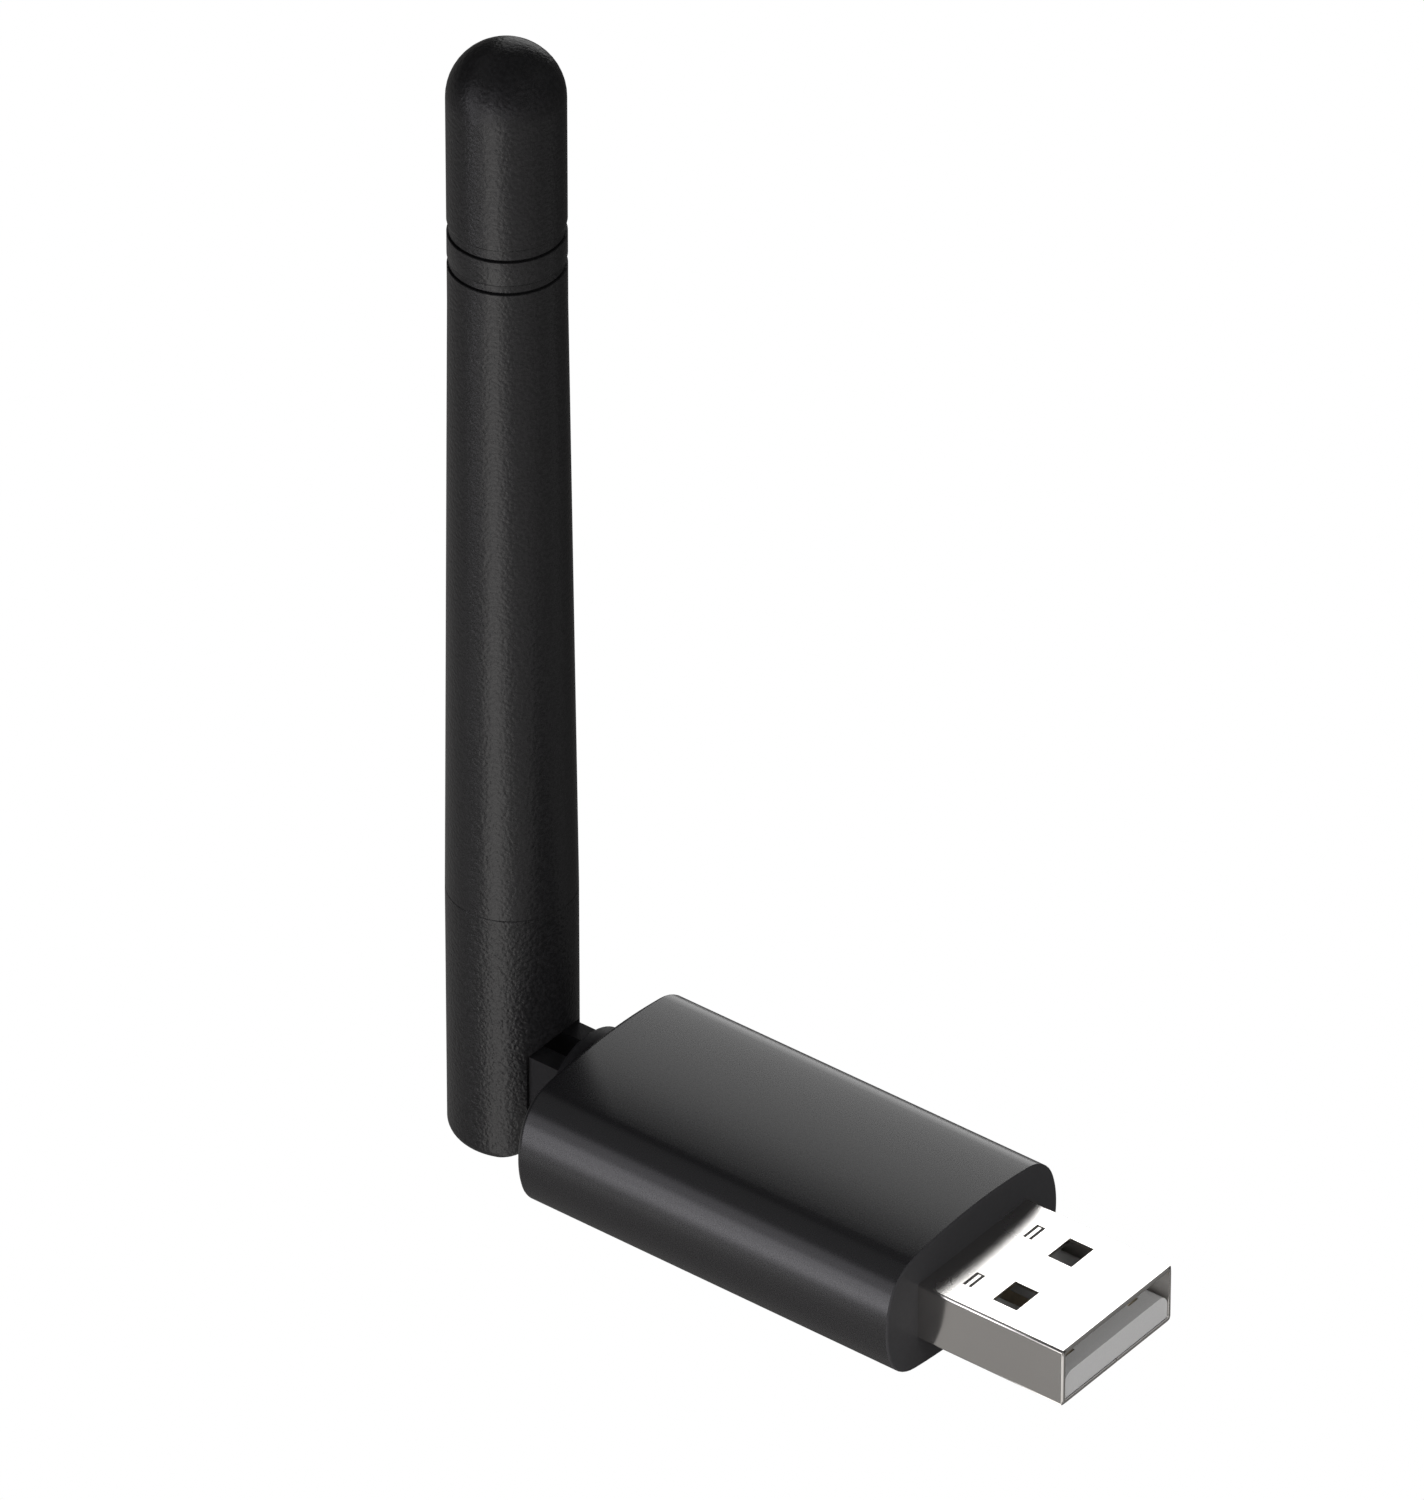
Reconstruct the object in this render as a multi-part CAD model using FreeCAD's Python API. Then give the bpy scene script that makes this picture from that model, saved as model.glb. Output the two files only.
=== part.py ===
import FreeCAD, Part
import math
import os

# Smart home USB radio stick, in millimetres.
# The origin is the centre of the plug where it leaves the body.
# +X points out of the plug, +Z is up along the raised antenna.

os.makedirs("parts", exist_ok=True)
V = FreeCAD.Vector

# Fits
fit_gap = 0.05
slide_gap = 0.03

# Plug: folded shell of a standard flat plug
plug_width = 12.0
plug_height = 4.5
plug_length = 12.0
shell_wall = 0.3
shell_corner = 0.45
shell_lead_in = 0.1
shell_tuck = 2.2
window_length = 2.0
window_width = 2.5
window_from_tip = 5.15
window_pitch = 6.0
tab_length = 1.6
tab_width = 0.7
tab_slit = 0.16
tab_from_tip = 9.05
tab_pitch = 6.6
seam_slit = 0.08
dovetail_length = 3.0
dovetail_depth = 1.2
dovetail_flare = 0.4
dovetail_from_tip = 8.0
leg_back = 2.6
leg_length = 1.2
leg_height = 1.3
leg_tip = 0.4

# Plug insulator and its four contacts
tongue_height = 2.04
tongue_setback = 0.4
tongue_round = 0.9
block_length = 3.0
contact_thickness = 0.3
contact_width = 1.0
contact_tail = 2.0
contact_nose = 0.2
power_setback = 0.9
data_setback = 1.9
outer_pitch = 7.0
inner_pitch = 2.0

# Body: one outline of crown, side and corner arcs, used for sleeve and cap
body_length = 31.35
body_width = 18.6
body_height = 10.16
crown_radius = 43.0
side_radius = 7.6
corner_radius = 3.25
body_wall = 1.3
rear_wall = 1.6
rear_chamfer = 0.4
front_edge = 0.12
cap_thickness = 1.5
cap_lip = 0.4
arm_length = 4.0
arm_width = 5.0
arm_thickness = 0.6
barb_height = 0.3
barb_length = 0.9

# Circuit board in its rails
board_thickness = 1.0
board_side_gap = 0.7
lead_room = 6.45
board_gap = 0.1
board_corner = 0.8
rail_grip = 0.5
rail_height = 0.6

# Parts on the board
can_length = 6.6
can_width = 10.5
can_height = 1.7
can_wall = 0.2
can_round = 0.4
can_gap = 0.8
radio_chip_size = 4.5
bridge_chip_size = 3.5
chip_height = 0.85
bridge_start = 1.0
part_gap = 0.3
crystal_length = 2.5
crystal_width = 3.2
crystal_height = 0.7
regulator_length = 1.6
regulator_width = 2.9
regulator_height = 1.0
regulator_lead = 0.5
regulator_lead_width = 0.4
regulator_lead_thickness = 0.15
regulator_pitch = 1.9
regulator_edge = 0.12
passive_length = 1.0
passive_width = 0.5
passive_row = 1.1
passive_pitch = 2.0
capacitor_inner = 2.5
capacitor_columns = 2
resistor_inner = 0.8
resistor_columns = 1
capacitor_height = 0.5
resistor_height = 0.35

# Coax lead and its board connector
coax_radius = 0.57
socket_size = 2.6
socket_foot = 0.35
socket_ring = 1.0
socket_wall = 0.2
socket_height = 1.2
socket_pin = 0.95
socket_from_end = 2.0
plug_cap_wall = 0.25
barrel_wall = 0.2
barrel_length = 1.2
barrel_rise = 0.12
lead_drop_length = 2.4

# Swivel behind the body
collar_radius = 4.5
collar_thickness = 1.35
collar_gap = 0.05
collar_chamfer = 0.25
stub_radius = 2.4
coax_bore = 1.1
bearing_radius = 3.4
bearing_length = 1.0
clip_thickness = 0.5
clip_groove = 0.4
clip_radius = 3.3
clip_opening = 60.0
stub_tail = 0.7
stub_lead_in = 0.25
lead_tail = 1.4
ring_recess = 0.6
ring_radius = 3.3
ring_width = 0.6

# Ears of the tilt hinge, about a pivot on the swivel axis
pivot_reach = 6.15
ear_half_height = 2.8
ear_inner = 1.0
ear_thickness = 1.6
trunnion_radius = 1.3
trunnion_length = 0.8

# Antenna base: foot, slot and spigot; heights are from the pivot
base_radius = 4.5
foot_reach = 5.95
foot_round = 1.0
slot_clearance = 0.07
stop_gap = 0.05
back_gap = 0.1
cheek_flat = 3.45
slope_angle = 50.0
seam_height = 14.3
seam_edge = 0.1
spigot_length = 6.0
ferrule_length = 3.5
ferrule_wall = 1.0
lead_channel = 1.2

# Antenna sheath, a tapered closed tube with two stepped ring slits
sheath_wall = 1.3
tip_radius = 3.98
dome_above_bore = 2.0
taper_below_dome = 16.1
lower_slit_below_dome = 12.98
lower_step_height = 0.78
upper_slit_below_dome = 10.43
upper_step_height = 0.98
slit_height = 0.16
slit_depth = 0.35
step_depth = 0.12
bore_radius = 2.65

# Radiator inside the sheath
tube_radius = 2.2
tube_wall = 0.3
tube_bottom = 24.0
tube_length = 22.0
tube_seat = 1.2
spacer_thickness = 2.2
whip_radius = 0.45
whip_length = 27.0
whip_end_gap = 2.5
whip_spacer_drop = 3.0

# Places worked out from the sizes above
half_plug = plug_width / 2
half_plug_height = plug_height / 2
tongue_top = -half_plug_height + shell_wall + tongue_height
board_top = tongue_top - contact_thickness
board_bottom = board_top - board_thickness
board_front = -shell_tuck - board_gap
board_rear = lead_room - body_length
board_width = body_width - 2 * (body_wall + board_side_gap)
half_width = body_width / 2
half_height = body_height / 2
mouth_inset = body_wall - cap_lip
collar_front = -body_length - collar_gap
collar_rear = collar_front - collar_thickness
pivot_x = collar_rear - pivot_reach
ear_outer = ear_inner + ear_thickness
slot_half = ear_outer + slot_clearance
ledge_height = ear_half_height + stop_gap
slot_back = ear_half_height + back_gap
spigot_radius = base_radius - sheath_wall - fit_gap
bearing_face = -body_length + rear_wall + bearing_length
spigot_top = seam_height + spigot_length
tube_top = tube_bottom + tube_length
whip_top = tube_top + whip_length
bore_end = whip_top + whip_end_gap
dome_centre = bore_end + dome_above_bore
taper_end = dome_centre - taper_below_dome


def box(x0, x1, y0, y1, z0, z1):
    """Box between two corners."""
    return Part.makeBox(x1 - x0, y1 - y0, z1 - z0, V(x0, y0, z0))


def rod_x(radius, x0, x1, y=0.0, z=0.0):
    """Round rod along X."""
    return Part.makeCylinder(radius, x1 - x0, V(x0, y, z), V(1, 0, 0))


def rod_z(radius, z0, z1, x=0.0, y=0.0):
    """Round rod along Z."""
    return Part.makeCylinder(radius, z1 - z0, V(x, y, z0), V(0, 0, 1))


def prism_y(points, y0, y1):
    """Prism along Y over a polygon of (x, z) points."""
    corners = [V(x, y0, z) for x, z in points]
    return Part.Face(Part.makePolygon(corners + corners[:1])).extrude(V(0, y1 - y0, 0))


def prism_z(points, z0, z1):
    """Prism along Z over a polygon of (x, y) points."""
    corners = [V(x, y, z0) for x, y in points]
    return Part.Face(Part.makePolygon(corners + corners[:1])).extrude(V(0, 0, z1 - z0))


def turned(edges):
    """Solid of revolution about Z from edges that close in the XZ plane."""
    return Part.Face(Part.Wire(edges)).revolve(V(0, 0, 0), V(0, 0, 1), 360)


def chain(points):
    """Straight edges through (x, z) points in the XZ plane."""
    corners = [V(x, 0, z) for x, z in points]
    return [Part.makeLine(a, b) for a, b in zip(corners, corners[1:])]


def joined(first, *others):
    """One solid of pieces that touch, without the seams between them."""
    return first.fuse(list(others)).removeSplitter()


def edges_at(shape, x):
    """Edges of a shape that lie in the plane at x."""
    return [e for e in shape.Edges if abs(e.BoundBox.XMin - x) < 1e-6 and abs(e.BoundBox.XMax - x) < 1e-6]


def save(name, shape):
    """Write one sub-part and print its volume."""
    shape.exportStep("parts/" + name + ".step")
    print(name, "solids", len(shape.Solids), "valid", shape.isValid(), "mm3", round(shape.Volume, 2))


def corner_arc():
    """Centre of the corner arc and the directions in which it meets crown and side."""
    crown = (0.0, half_height - crown_radius)
    side = (half_width - side_radius, 0.0)
    to_crown = crown_radius - corner_radius
    to_side = side_radius - corner_radius
    apart = math.dist(crown, side)
    along = (to_crown ** 2 - to_side ** 2 + apart ** 2) / (2 * apart)
    across = math.sqrt(to_crown ** 2 - along ** 2)
    uy = (side[0] - crown[0]) / apart
    uz = (side[1] - crown[1]) / apart
    cy = crown[0] + uy * along + uz * across
    cz = crown[1] + uz * along - uy * across
    crown_way = ((cy - crown[0]) / to_crown, (cz - crown[1]) / to_crown)
    side_way = ((cy - side[0]) / to_side, (cz - side[1]) / to_side)
    return (cy, cz), crown_way, side_way


def body_prism(inset, x0, x1):
    """The body's outline moved inwards by inset, from x0 to x1."""
    (cy, cz), crown_way, side_way = corner_arc()
    middle = V(0, crown_way[0] + side_way[0], crown_way[1] + side_way[1]).normalize()
    radius = corner_radius - inset
    ways = (crown_way, (middle.y, middle.z), side_way)
    top = half_height - inset
    side = half_width - inset

    def corner(sign_y, sign_z):
        return [V(x0, sign_y * (cy + y * radius), sign_z * (cz + z * radius)) for y, z in ways]

    corners = {(y, z): corner(y, z) for y in (-1, 1) for z in (-1, 1)}
    arcs = [Part.Arc(*points).toShape() for points in corners.values()]
    for sign in (-1, 1):
        crown_ends = [corners[y, sign][0] for y in (-1, 1)]
        side_ends = [corners[sign, z][2] for z in (-1, 1)]
        arcs.append(Part.Arc(crown_ends[0], V(x0, 0, sign * top), crown_ends[1]).toShape())
        arcs.append(Part.Arc(side_ends[0], V(x0, sign * side, 0), side_ends[1]).toShape())
    outline = Part.Wire(Part.__sortEdges__(arcs))
    return Part.Face(outline).extrude(V(x1 - x0, 0, 0))


def inner_ceiling(y):
    """Height of the inside of the crown at y."""
    radius = crown_radius - body_wall
    return half_height - crown_radius + math.sqrt(radius ** 2 - y ** 2)


def plug_bar(inset, x0, x1):
    """Bar with the plug shell's outline, moved inwards by inset."""
    hy = half_plug - inset
    hz = half_plug_height - inset
    bar = box(x0, x1, -hy, hy, -hz, hz)
    radius = max(shell_corner - inset, slide_gap)
    long_edges = [e for e in bar.Edges if abs(e.BoundBox.XLength - (x1 - x0)) < 1e-6]
    return bar.makeFillet(radius, long_edges)


def slit_band(points, width, z0, z1):
    """Narrow cut that follows a line of (x, y) points."""
    bands = []
    for (xa, ya), (xb, yb) in zip(points, points[1:]):
        length = math.hypot(xb - xa, yb - ya)
        ux = (xb - xa) / length * width / 2
        uy = (yb - ya) / length * width / 2
        corners = [(xa - ux - uy, ya - uy + ux), (xb + ux - uy, yb + uy + ux),
                   (xb + ux + uy, yb + uy - ux), (xa - ux + uy, ya - uy - ux)]
        bands.append(prism_z(corners, z0, z1))
    return bands


# Plug shell, folded from one sheet
def plug_shell():
    outer = plug_bar(0, -shell_tuck, plug_length)
    outer = outer.makeChamfer(shell_lead_in, edges_at(outer, plug_length))
    shell = outer.cut(plug_bar(shell_wall, -shell_tuck - 1, plug_length + 1))
    window_front = plug_length - window_from_tip
    for side in (-1, 1):
        centre = side * window_pitch / 2
        shell = shell.cut(box(window_front - window_length, window_front,
                              centre - window_width / 2, centre + window_width / 2,
                              -plug_height, plug_height))
        shell = shell.cut(lock_tab_slits(side * tab_pitch / 2))
    shell = shell.cut(seam_cut())
    return joined(shell, *shell_legs())


def lock_tab_slits(centre):
    """Three slits that leave a small locking tab, joined at its -Y end."""
    front = plug_length - tab_from_tip
    rear = front - tab_width
    end = centre + tab_length / 2
    root = centre - tab_length / 2
    lowest = half_plug_height - shell_wall * 1.5
    cuts = box(rear, front, end - tab_slit, end, lowest, plug_height)
    for x0 in (rear, front - tab_slit):
        cuts = cuts.fuse(box(x0, x0 + tab_slit, root, end, lowest, plug_height))
    return cuts


def seam_cut():
    """The sheet's two ends meet under the plug in a dovetail."""
    tail_front = plug_length - dovetail_from_tip + dovetail_length
    tail_rear = plug_length - dovetail_from_tip
    line = [(plug_length + 1, 0), (tail_front, 0), (tail_front + dovetail_flare, dovetail_depth),
            (tail_rear - dovetail_flare, dovetail_depth), (tail_rear, 0), (-shell_tuck - 1, 0)]
    bands = slit_band(line, seam_slit, -plug_height, -half_plug_height + shell_wall * 1.5)
    return bands[0].fuse(bands[1:])


def shell_legs():
    """Strips behind the shell whose legs go down through the board."""
    rear = -shell_tuck - leg_back
    legs = []
    for side in (-1, 1):
        y0, y1 = sorted((side * half_plug, side * (half_plug - shell_wall)))
        strip_bottom = board_top + fit_gap
        legs.append(box(rear, -shell_tuck, y0, y1, strip_bottom, board_top + leg_height))
        legs.append(box(rear, rear + leg_length, y0, y1, board_bottom - leg_tip, board_top + leg_height))
    return legs


# Plug insulator: a tongue in the mouth and a block behind it
def plug_insulator():
    tip = plug_length - tongue_setback
    tongue = plug_bar(shell_wall + slide_gap, 0, tip)
    tongue = tongue.cut(box(-1, tip + 1, -half_plug, half_plug, tongue_top, half_plug_height))
    top_edges = [e for e in tongue.Edges
                 if abs(e.BoundBox.ZMin - tongue_top) < 1e-6 and e.BoundBox.XLength > tip / 2]
    tongue = tongue.makeFillet(tongue_round, top_edges)
    block = plug_bar(shell_wall + slide_gap, -shell_tuck, block_length)
    body = joined(tongue, block)
    for y, setback in contact_places():
        half = contact_width / 2 + slide_gap
        front = plug_length - setback + slide_gap
        body = body.cut(box(-shell_tuck - 1, front, y - half, y + half, board_top, tongue_top + slide_gap))
    return body


def contact_places():
    """Side place and setback from the tip of the four contacts."""
    outer = tongue_setback + power_setback
    inner = tongue_setback + data_setback
    return [(-outer_pitch / 2, outer), (-inner_pitch / 2, inner),
            (inner_pitch / 2, inner), (outer_pitch / 2, outer)]


def plug_contact(y, setback):
    """Flat blade whose nose is bevelled and whose tail lies on the board."""
    tip = plug_length - setback
    tail = board_front - contact_tail
    profile = [(tail, board_top), (tip, board_top), (tip, tongue_top - contact_nose),
               (tip - contact_nose, tongue_top), (tail, tongue_top)]
    return prism_y(profile, y - contact_width / 2, y + contact_width / 2)


# Body sleeve with its closed rear wall, rails and swivel bearing
def housing_sleeve():
    outer = body_prism(0, -body_length, 0)
    outer = outer.makeChamfer(rear_chamfer, edges_at(outer, -body_length))
    outer = outer.makeChamfer(front_edge, edges_at(outer, 0))
    hollow = body_prism(body_wall, -body_length + rear_wall, 1)
    mouth = body_prism(mouth_inset, -cap_thickness, 1)
    sleeve = outer.cut([hollow, mouth])
    inside = body_prism(body_wall / 2, -body_length + rear_wall / 2, -cap_thickness)
    rails = [rail.common(inside) for rail in board_rails()]
    bearing = rod_x(bearing_radius, -body_length + rear_wall / 2, bearing_face)
    sleeve = joined(sleeve, bearing, *rails)
    sleeve = sleeve.cut(rod_x(stub_radius + fit_gap, -body_length - 1, bearing_face + 1))
    sleeve = sleeve.cut(ring_seat())
    return sleeve.cut(snap_notches())


def board_rails():
    """Two rails above and two below the board's edges, and a stop behind it."""
    inner = board_width / 2 - rail_grip
    front = -cap_thickness - fit_gap
    rails = []
    for side in (-1, 1):
        y0, y1 = sorted((side * inner, side * half_width))
        rails.append(box(board_rear, front, y0, y1, board_top + slide_gap, board_top + rail_height))
        rails.append(box(board_rear, front, y0, y1, board_bottom - rail_height, board_bottom - slide_gap))
        rails.append(box(-body_length, board_rear - slide_gap, y0, y1,
                         board_bottom - rail_height, board_top + rail_height))
    return rails


def ring_seat():
    """Recess for the friction ring in the outside of the rear wall."""
    half = ring_width / 2 + fit_gap
    outer = rod_x(ring_radius + half, -body_length - 1, -body_length + ring_recess)
    inner = rod_x(ring_radius - half, -body_length - 2, -body_length + ring_recess + 1)
    return outer.cut(inner)


def snap_arm_top():
    """Upper face of the cap's upper snap arm, close under the crown."""
    return inner_ceiling(arm_width / 2) - fit_gap


def snap_notches():
    """Pockets inside crown and floor that the cap's barbs click into."""
    rear = -cap_thickness - arm_length
    depth = snap_arm_top() + barb_height + fit_gap
    half = arm_width / 2 + fit_gap
    upper = box(rear - fit_gap, rear + barb_length + fit_gap, -half, half, 0, depth)
    lower = box(rear - fit_gap, rear + barb_length + fit_gap, -half, half, -depth, 0)
    middle = box(rear - 1, 0, -half_width, half_width, -snap_arm_top(), snap_arm_top())
    return upper.fuse(lower).cut(middle)


# Front cap: the flat end face, with two snap arms
def front_cap():
    plate = body_prism(mouth_inset + slide_gap, -cap_thickness, 0)
    arms = []
    for side in (-1, 1):
        top = snap_arm_top()
        rear = -cap_thickness - arm_length
        profile = [(-cap_thickness / 2, side * top), (rear + barb_length, side * top),
                   (rear + barb_length, side * (top + barb_height)), (rear, side * top),
                   (rear, side * (top - arm_thickness)), (-cap_thickness / 2, side * (top - arm_thickness))]
        arms.append(prism_y(profile, -arm_width / 2, arm_width / 2))
    cap = joined(plate, *arms)
    return cap.cut(plug_bar(-slide_gap, -cap_thickness - 1, 1))


# Circuit board with slots for the shell's legs
def circuit_board():
    board = box(board_rear, board_front, -board_width / 2, board_width / 2, board_bottom, board_top)
    upright = [e for e in board.Edges if e.BoundBox.ZLength > board_thickness / 2]
    board = board.makeFillet(board_corner, upright)
    leg_rear = -shell_tuck - leg_back
    for side in (-1, 1):
        y0, y1 = sorted((side * (half_plug + fit_gap), side * (half_plug - shell_wall - fit_gap)))
        board = board.cut(box(leg_rear - fit_gap, leg_rear + leg_length + fit_gap, y0, y1,
                              board_bottom - 1, board_top + 1))
    return board


def on_board(front, length, width, height, y=0.0):
    """Block that stands on the board, with its front end at front."""
    return box(front - length, front, y - width / 2, y + width / 2, board_top, board_top + height)


def bridge_front():
    """Front end of the bridge chip, the crystal and the regulator, behind the contact tails."""
    return board_front - contact_tail - bridge_start


def can_front():
    """Front end of the shield can, which stands close to the coax connector."""
    return socket_x() + coax_plug_radius() + can_gap + can_length


def beside_bridge(width):
    """Side place of a part that stands next to the bridge chip."""
    return bridge_chip_size / 2 + part_gap + width / 2


def shield_can():
    """Thin drawn cover over the radio chip."""
    can = on_board(can_front(), can_length, can_width, can_height)
    uprights = [e for e in can.Edges if e.BoundBox.ZLength > can_height / 2]
    can = can.makeFillet(can_round, uprights)
    return can.cut(on_board(can_front() - can_wall, can_length - 2 * can_wall,
                            can_width - 2 * can_wall, can_height - can_wall))


def radio_chip():
    front = can_front() - (can_length - radio_chip_size) / 2
    return on_board(front, radio_chip_size, radio_chip_size, chip_height)


def bridge_chip():
    return on_board(bridge_front(), bridge_chip_size, bridge_chip_size, chip_height)


def crystal():
    side = beside_bridge(crystal_width)
    return on_board(bridge_front(), crystal_length, crystal_width, crystal_height, side)


def voltage_regulator():
    """Moulded body with two leads in front and one behind."""
    side = -beside_bridge(regulator_width)
    front = bridge_front() - regulator_lead
    body = on_board(front, regulator_length, regulator_width, regulator_height, side)
    body = body.makeChamfer(regulator_edge, body.Edges[:4])
    leads = []
    pitch = regulator_pitch / 2
    reach = regulator_lead - regulator_lead_thickness
    rear = front - regulator_length
    places = ((front + regulator_lead, reach, -pitch), (front + regulator_lead, reach, pitch), (rear, 0, 0))
    for tip, rise, y in places:
        leads.append(on_board(tip, regulator_lead, regulator_lead_width, regulator_lead_thickness, side + y))
        leads.append(on_board(tip - rise, regulator_lead_thickness, regulator_lead_width,
                              regulator_height / 2, side + y))
    return joined(body, *leads)


def passives(inner, columns, height):
    """A group of equal chip parts in two rows behind the bridge chip, the same on each side."""
    first = bridge_front() - bridge_chip_size - part_gap
    sides = [side * (inner + column * passive_pitch) for side in (-1, 1) for column in range(columns)]
    blocks = [on_board(front, passive_width, passive_length, height, side)
              for front in (first, first - passive_row) for side in sides]
    return Part.makeCompound(blocks)


def ceramic_capacitors():
    return passives(capacitor_inner, capacitor_columns, capacitor_height)


def chip_resistors():
    return passives(resistor_inner, resistor_columns, resistor_height)


# Board connector and the coax lead to the swivel
def socket_x():
    return board_rear + socket_from_end


def coax_socket():
    x = socket_x()
    half = socket_size / 2
    foot = box(x - half, x + half, -half, half, board_top, board_top + socket_foot)
    ring = rod_z(socket_ring, board_top + socket_foot / 2, board_top + socket_height, x)
    ring = ring.cut(rod_z(socket_ring - socket_wall, board_top + socket_foot,
                          board_top + socket_height + 1, x))
    pin = rod_z(socket_wall, board_top + socket_foot / 2, board_top + socket_pin, x)
    return joined(foot, ring, pin)


def lead_height():
    """Height of the lead's centre where it leaves the coax plug."""
    return board_top + socket_foot + fit_gap + barrel_rise + barrel_wall + coax_radius


def coax_plug_radius():
    return socket_ring + slide_gap + plug_cap_wall


def coax_plug():
    x = socket_x()
    outer = coax_plug_radius()
    bottom = board_top + socket_foot + fit_gap
    top = max(board_top + socket_height, lead_height() + coax_radius) + plug_cap_wall
    cap = rod_z(outer, bottom, top, x)
    barrel = rod_x(coax_radius + barrel_wall, x - outer - barrel_length, x, 0, lead_height())
    body = joined(cap, barrel)
    body = body.cut(rod_z(socket_ring + slide_gap, bottom - 1, board_top + socket_height + slide_gap, x))
    return body.cut(rod_x(coax_radius, x - outer - 2, x - outer + plug_cap_wall / 2, 0, lead_height()))


def coax_lead():
    """Short lead: out of the plug, down to the swivel axis and through the stub."""
    start = socket_x() - socket_ring - slide_gap - plug_cap_wall / 2
    barrel_end = start - plug_cap_wall / 2 - barrel_length
    drop_end = barrel_end - lead_drop_length
    drop = lead_height()
    turn = (lead_drop_length ** 2 + drop ** 2) / (4 * drop)
    half_turn = math.asin(lead_drop_length / 2 / turn) / 2
    upper = V(barrel_end - turn * math.sin(half_turn), 0, drop - turn * (1 - math.cos(half_turn)))
    lower = V(drop_end + turn * math.sin(half_turn), 0, turn * (1 - math.cos(half_turn)))
    middle = V((barrel_end + drop_end) / 2, 0, drop / 2)
    path = Part.Wire([
        Part.makeLine(V(start, 0, drop), V(barrel_end, 0, drop)),
        Part.Arc(V(barrel_end, 0, drop), upper, middle).toShape(),
        Part.Arc(middle, lower, V(drop_end, 0, 0)).toShape(),
        Part.makeLine(V(drop_end, 0, 0), V(collar_rear - lead_tail, 0, 0)),
    ])
    section = Part.Wire([Part.makeCircle(coax_radius, V(start, 0, drop), V(-1, 0, 0))])
    return path.makePipeShell([section], True, False)


# Swivel: collar, hollow stub and two ears moulded in one
def swivel_collar():
    disc = rod_x(collar_radius, collar_rear, collar_front)
    disc = disc.makeChamfer(collar_chamfer, edges_at(disc, collar_rear))
    stub_end = clip_front() + clip_thickness + slide_gap + stub_tail
    stub = rod_x(stub_radius, collar_rear, stub_end)
    stub = stub.makeChamfer(stub_lead_in, edges_at(stub, stub_end))
    groove_rear = clip_front() - slide_gap
    groove_front = clip_front() + clip_thickness + slide_gap
    groove = rod_x(stub_radius + 1, groove_rear, groove_front)
    groove = groove.cut(rod_x(stub_radius - clip_groove, groove_rear - 1, groove_front + 1))
    swivel = joined(disc, stub, *[ear(side) for side in (-1, 1)])
    swivel = swivel.cut(groove)
    return swivel.cut(rod_x(coax_bore, collar_rear - fit_gap, stub_end + 1))


def clip_front():
    """Rear face of the retaining clip, against the bearing."""
    return bearing_face + fit_gap


def ear(side):
    """One ear with a round end about the pivot and a trunnion on its outside."""
    y0, y1 = sorted((side * ear_inner, side * ear_outer))
    root = (collar_front + collar_rear) / 2
    bar = box(pivot_x, root, y0, y1, -ear_half_height, ear_half_height)
    end = Part.makeCylinder(ear_half_height, ear_thickness, V(pivot_x, y0, 0), V(0, 1, 0))
    peg = Part.makeCylinder(trunnion_radius, ear_thickness / 2 + trunnion_length,
                            V(pivot_x, side * (ear_outer - ear_thickness / 2), 0), V(0, side, 0))
    outline = rod_x(collar_radius, pivot_x - base_radius, root)
    return joined(bar, end, peg).common(outline)


def retaining_clip():
    """Open spring ring in the stub's groove."""
    x0 = clip_front()
    ring = rod_x(clip_radius, x0, x0 + clip_thickness)
    ring = ring.cut(rod_x(stub_radius - clip_groove + slide_gap, x0 - 1, x0 + clip_thickness + 1))
    spread = clip_radius * 2 * math.tan(math.radians(clip_opening / 2))
    wedge = [V(x0 - 1, 0, 0), V(x0 - 1, spread, clip_radius * 2), V(x0 - 1, -spread, clip_radius * 2)]
    mouth = Part.Face(Part.makePolygon(wedge + wedge[:1])).extrude(V(clip_thickness + 2, 0, 0))
    return ring.cut(mouth)


def friction_ring():
    """Square rubber ring that holds the swivel where it is turned."""
    rear = collar_front + slide_gap
    front = -body_length + ring_recess
    ring = rod_x(ring_radius + ring_width / 2, rear, front)
    return ring.cut(rod_x(ring_radius - ring_width / 2, rear - 1, front + 1))


# Antenna base, built about the pivot
def antenna_base():
    low = -foot_reach
    middle = V(base_radius - foot_round * (1 - math.sqrt(0.5)), 0, low + foot_round * (1 - math.sqrt(0.5)))
    rounding = Part.Arc(V(base_radius - foot_round, 0, low), middle, V(base_radius, 0, low + foot_round))
    edges = chain([(0, low), (base_radius - foot_round, low)])
    edges.append(rounding.toShape())
    edges += chain([(base_radius, low + foot_round), (base_radius, seam_height - seam_edge),
                    (base_radius - seam_edge, seam_height), (spigot_radius, seam_height),
                    (spigot_radius, spigot_top), (0, spigot_top), (0, low)])
    base = turned(edges)
    base = base.cut([front_relief(), foot_relief(), ear_slot()])
    for side in (-1, 1):
        base = base.cut(Part.makeCylinder(trunnion_radius + fit_gap, trunnion_length + fit_gap + slot_half,
                                          V(0, 0, 0), V(0, side, 0)))
    base = base.cut(rod_z(lead_channel, 0, spigot_top + 1))
    seat_radius = coax_radius + ferrule_wall + slide_gap
    return base.cut(rod_z(seat_radius, spigot_top - ferrule_length, spigot_top + 1))


def front_relief():
    """Flat on the cheeks in front, sloping out above the ears."""
    beyond = base_radius + 1
    rise = (beyond - cheek_flat) * math.tan(math.radians(slope_angle))
    profile = [(cheek_flat, -foot_reach - 1), (cheek_flat, ledge_height),
               (beyond, ledge_height + rise), (beyond, -foot_reach - 1)]
    return prism_y(profile, -beyond, beyond)


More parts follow.
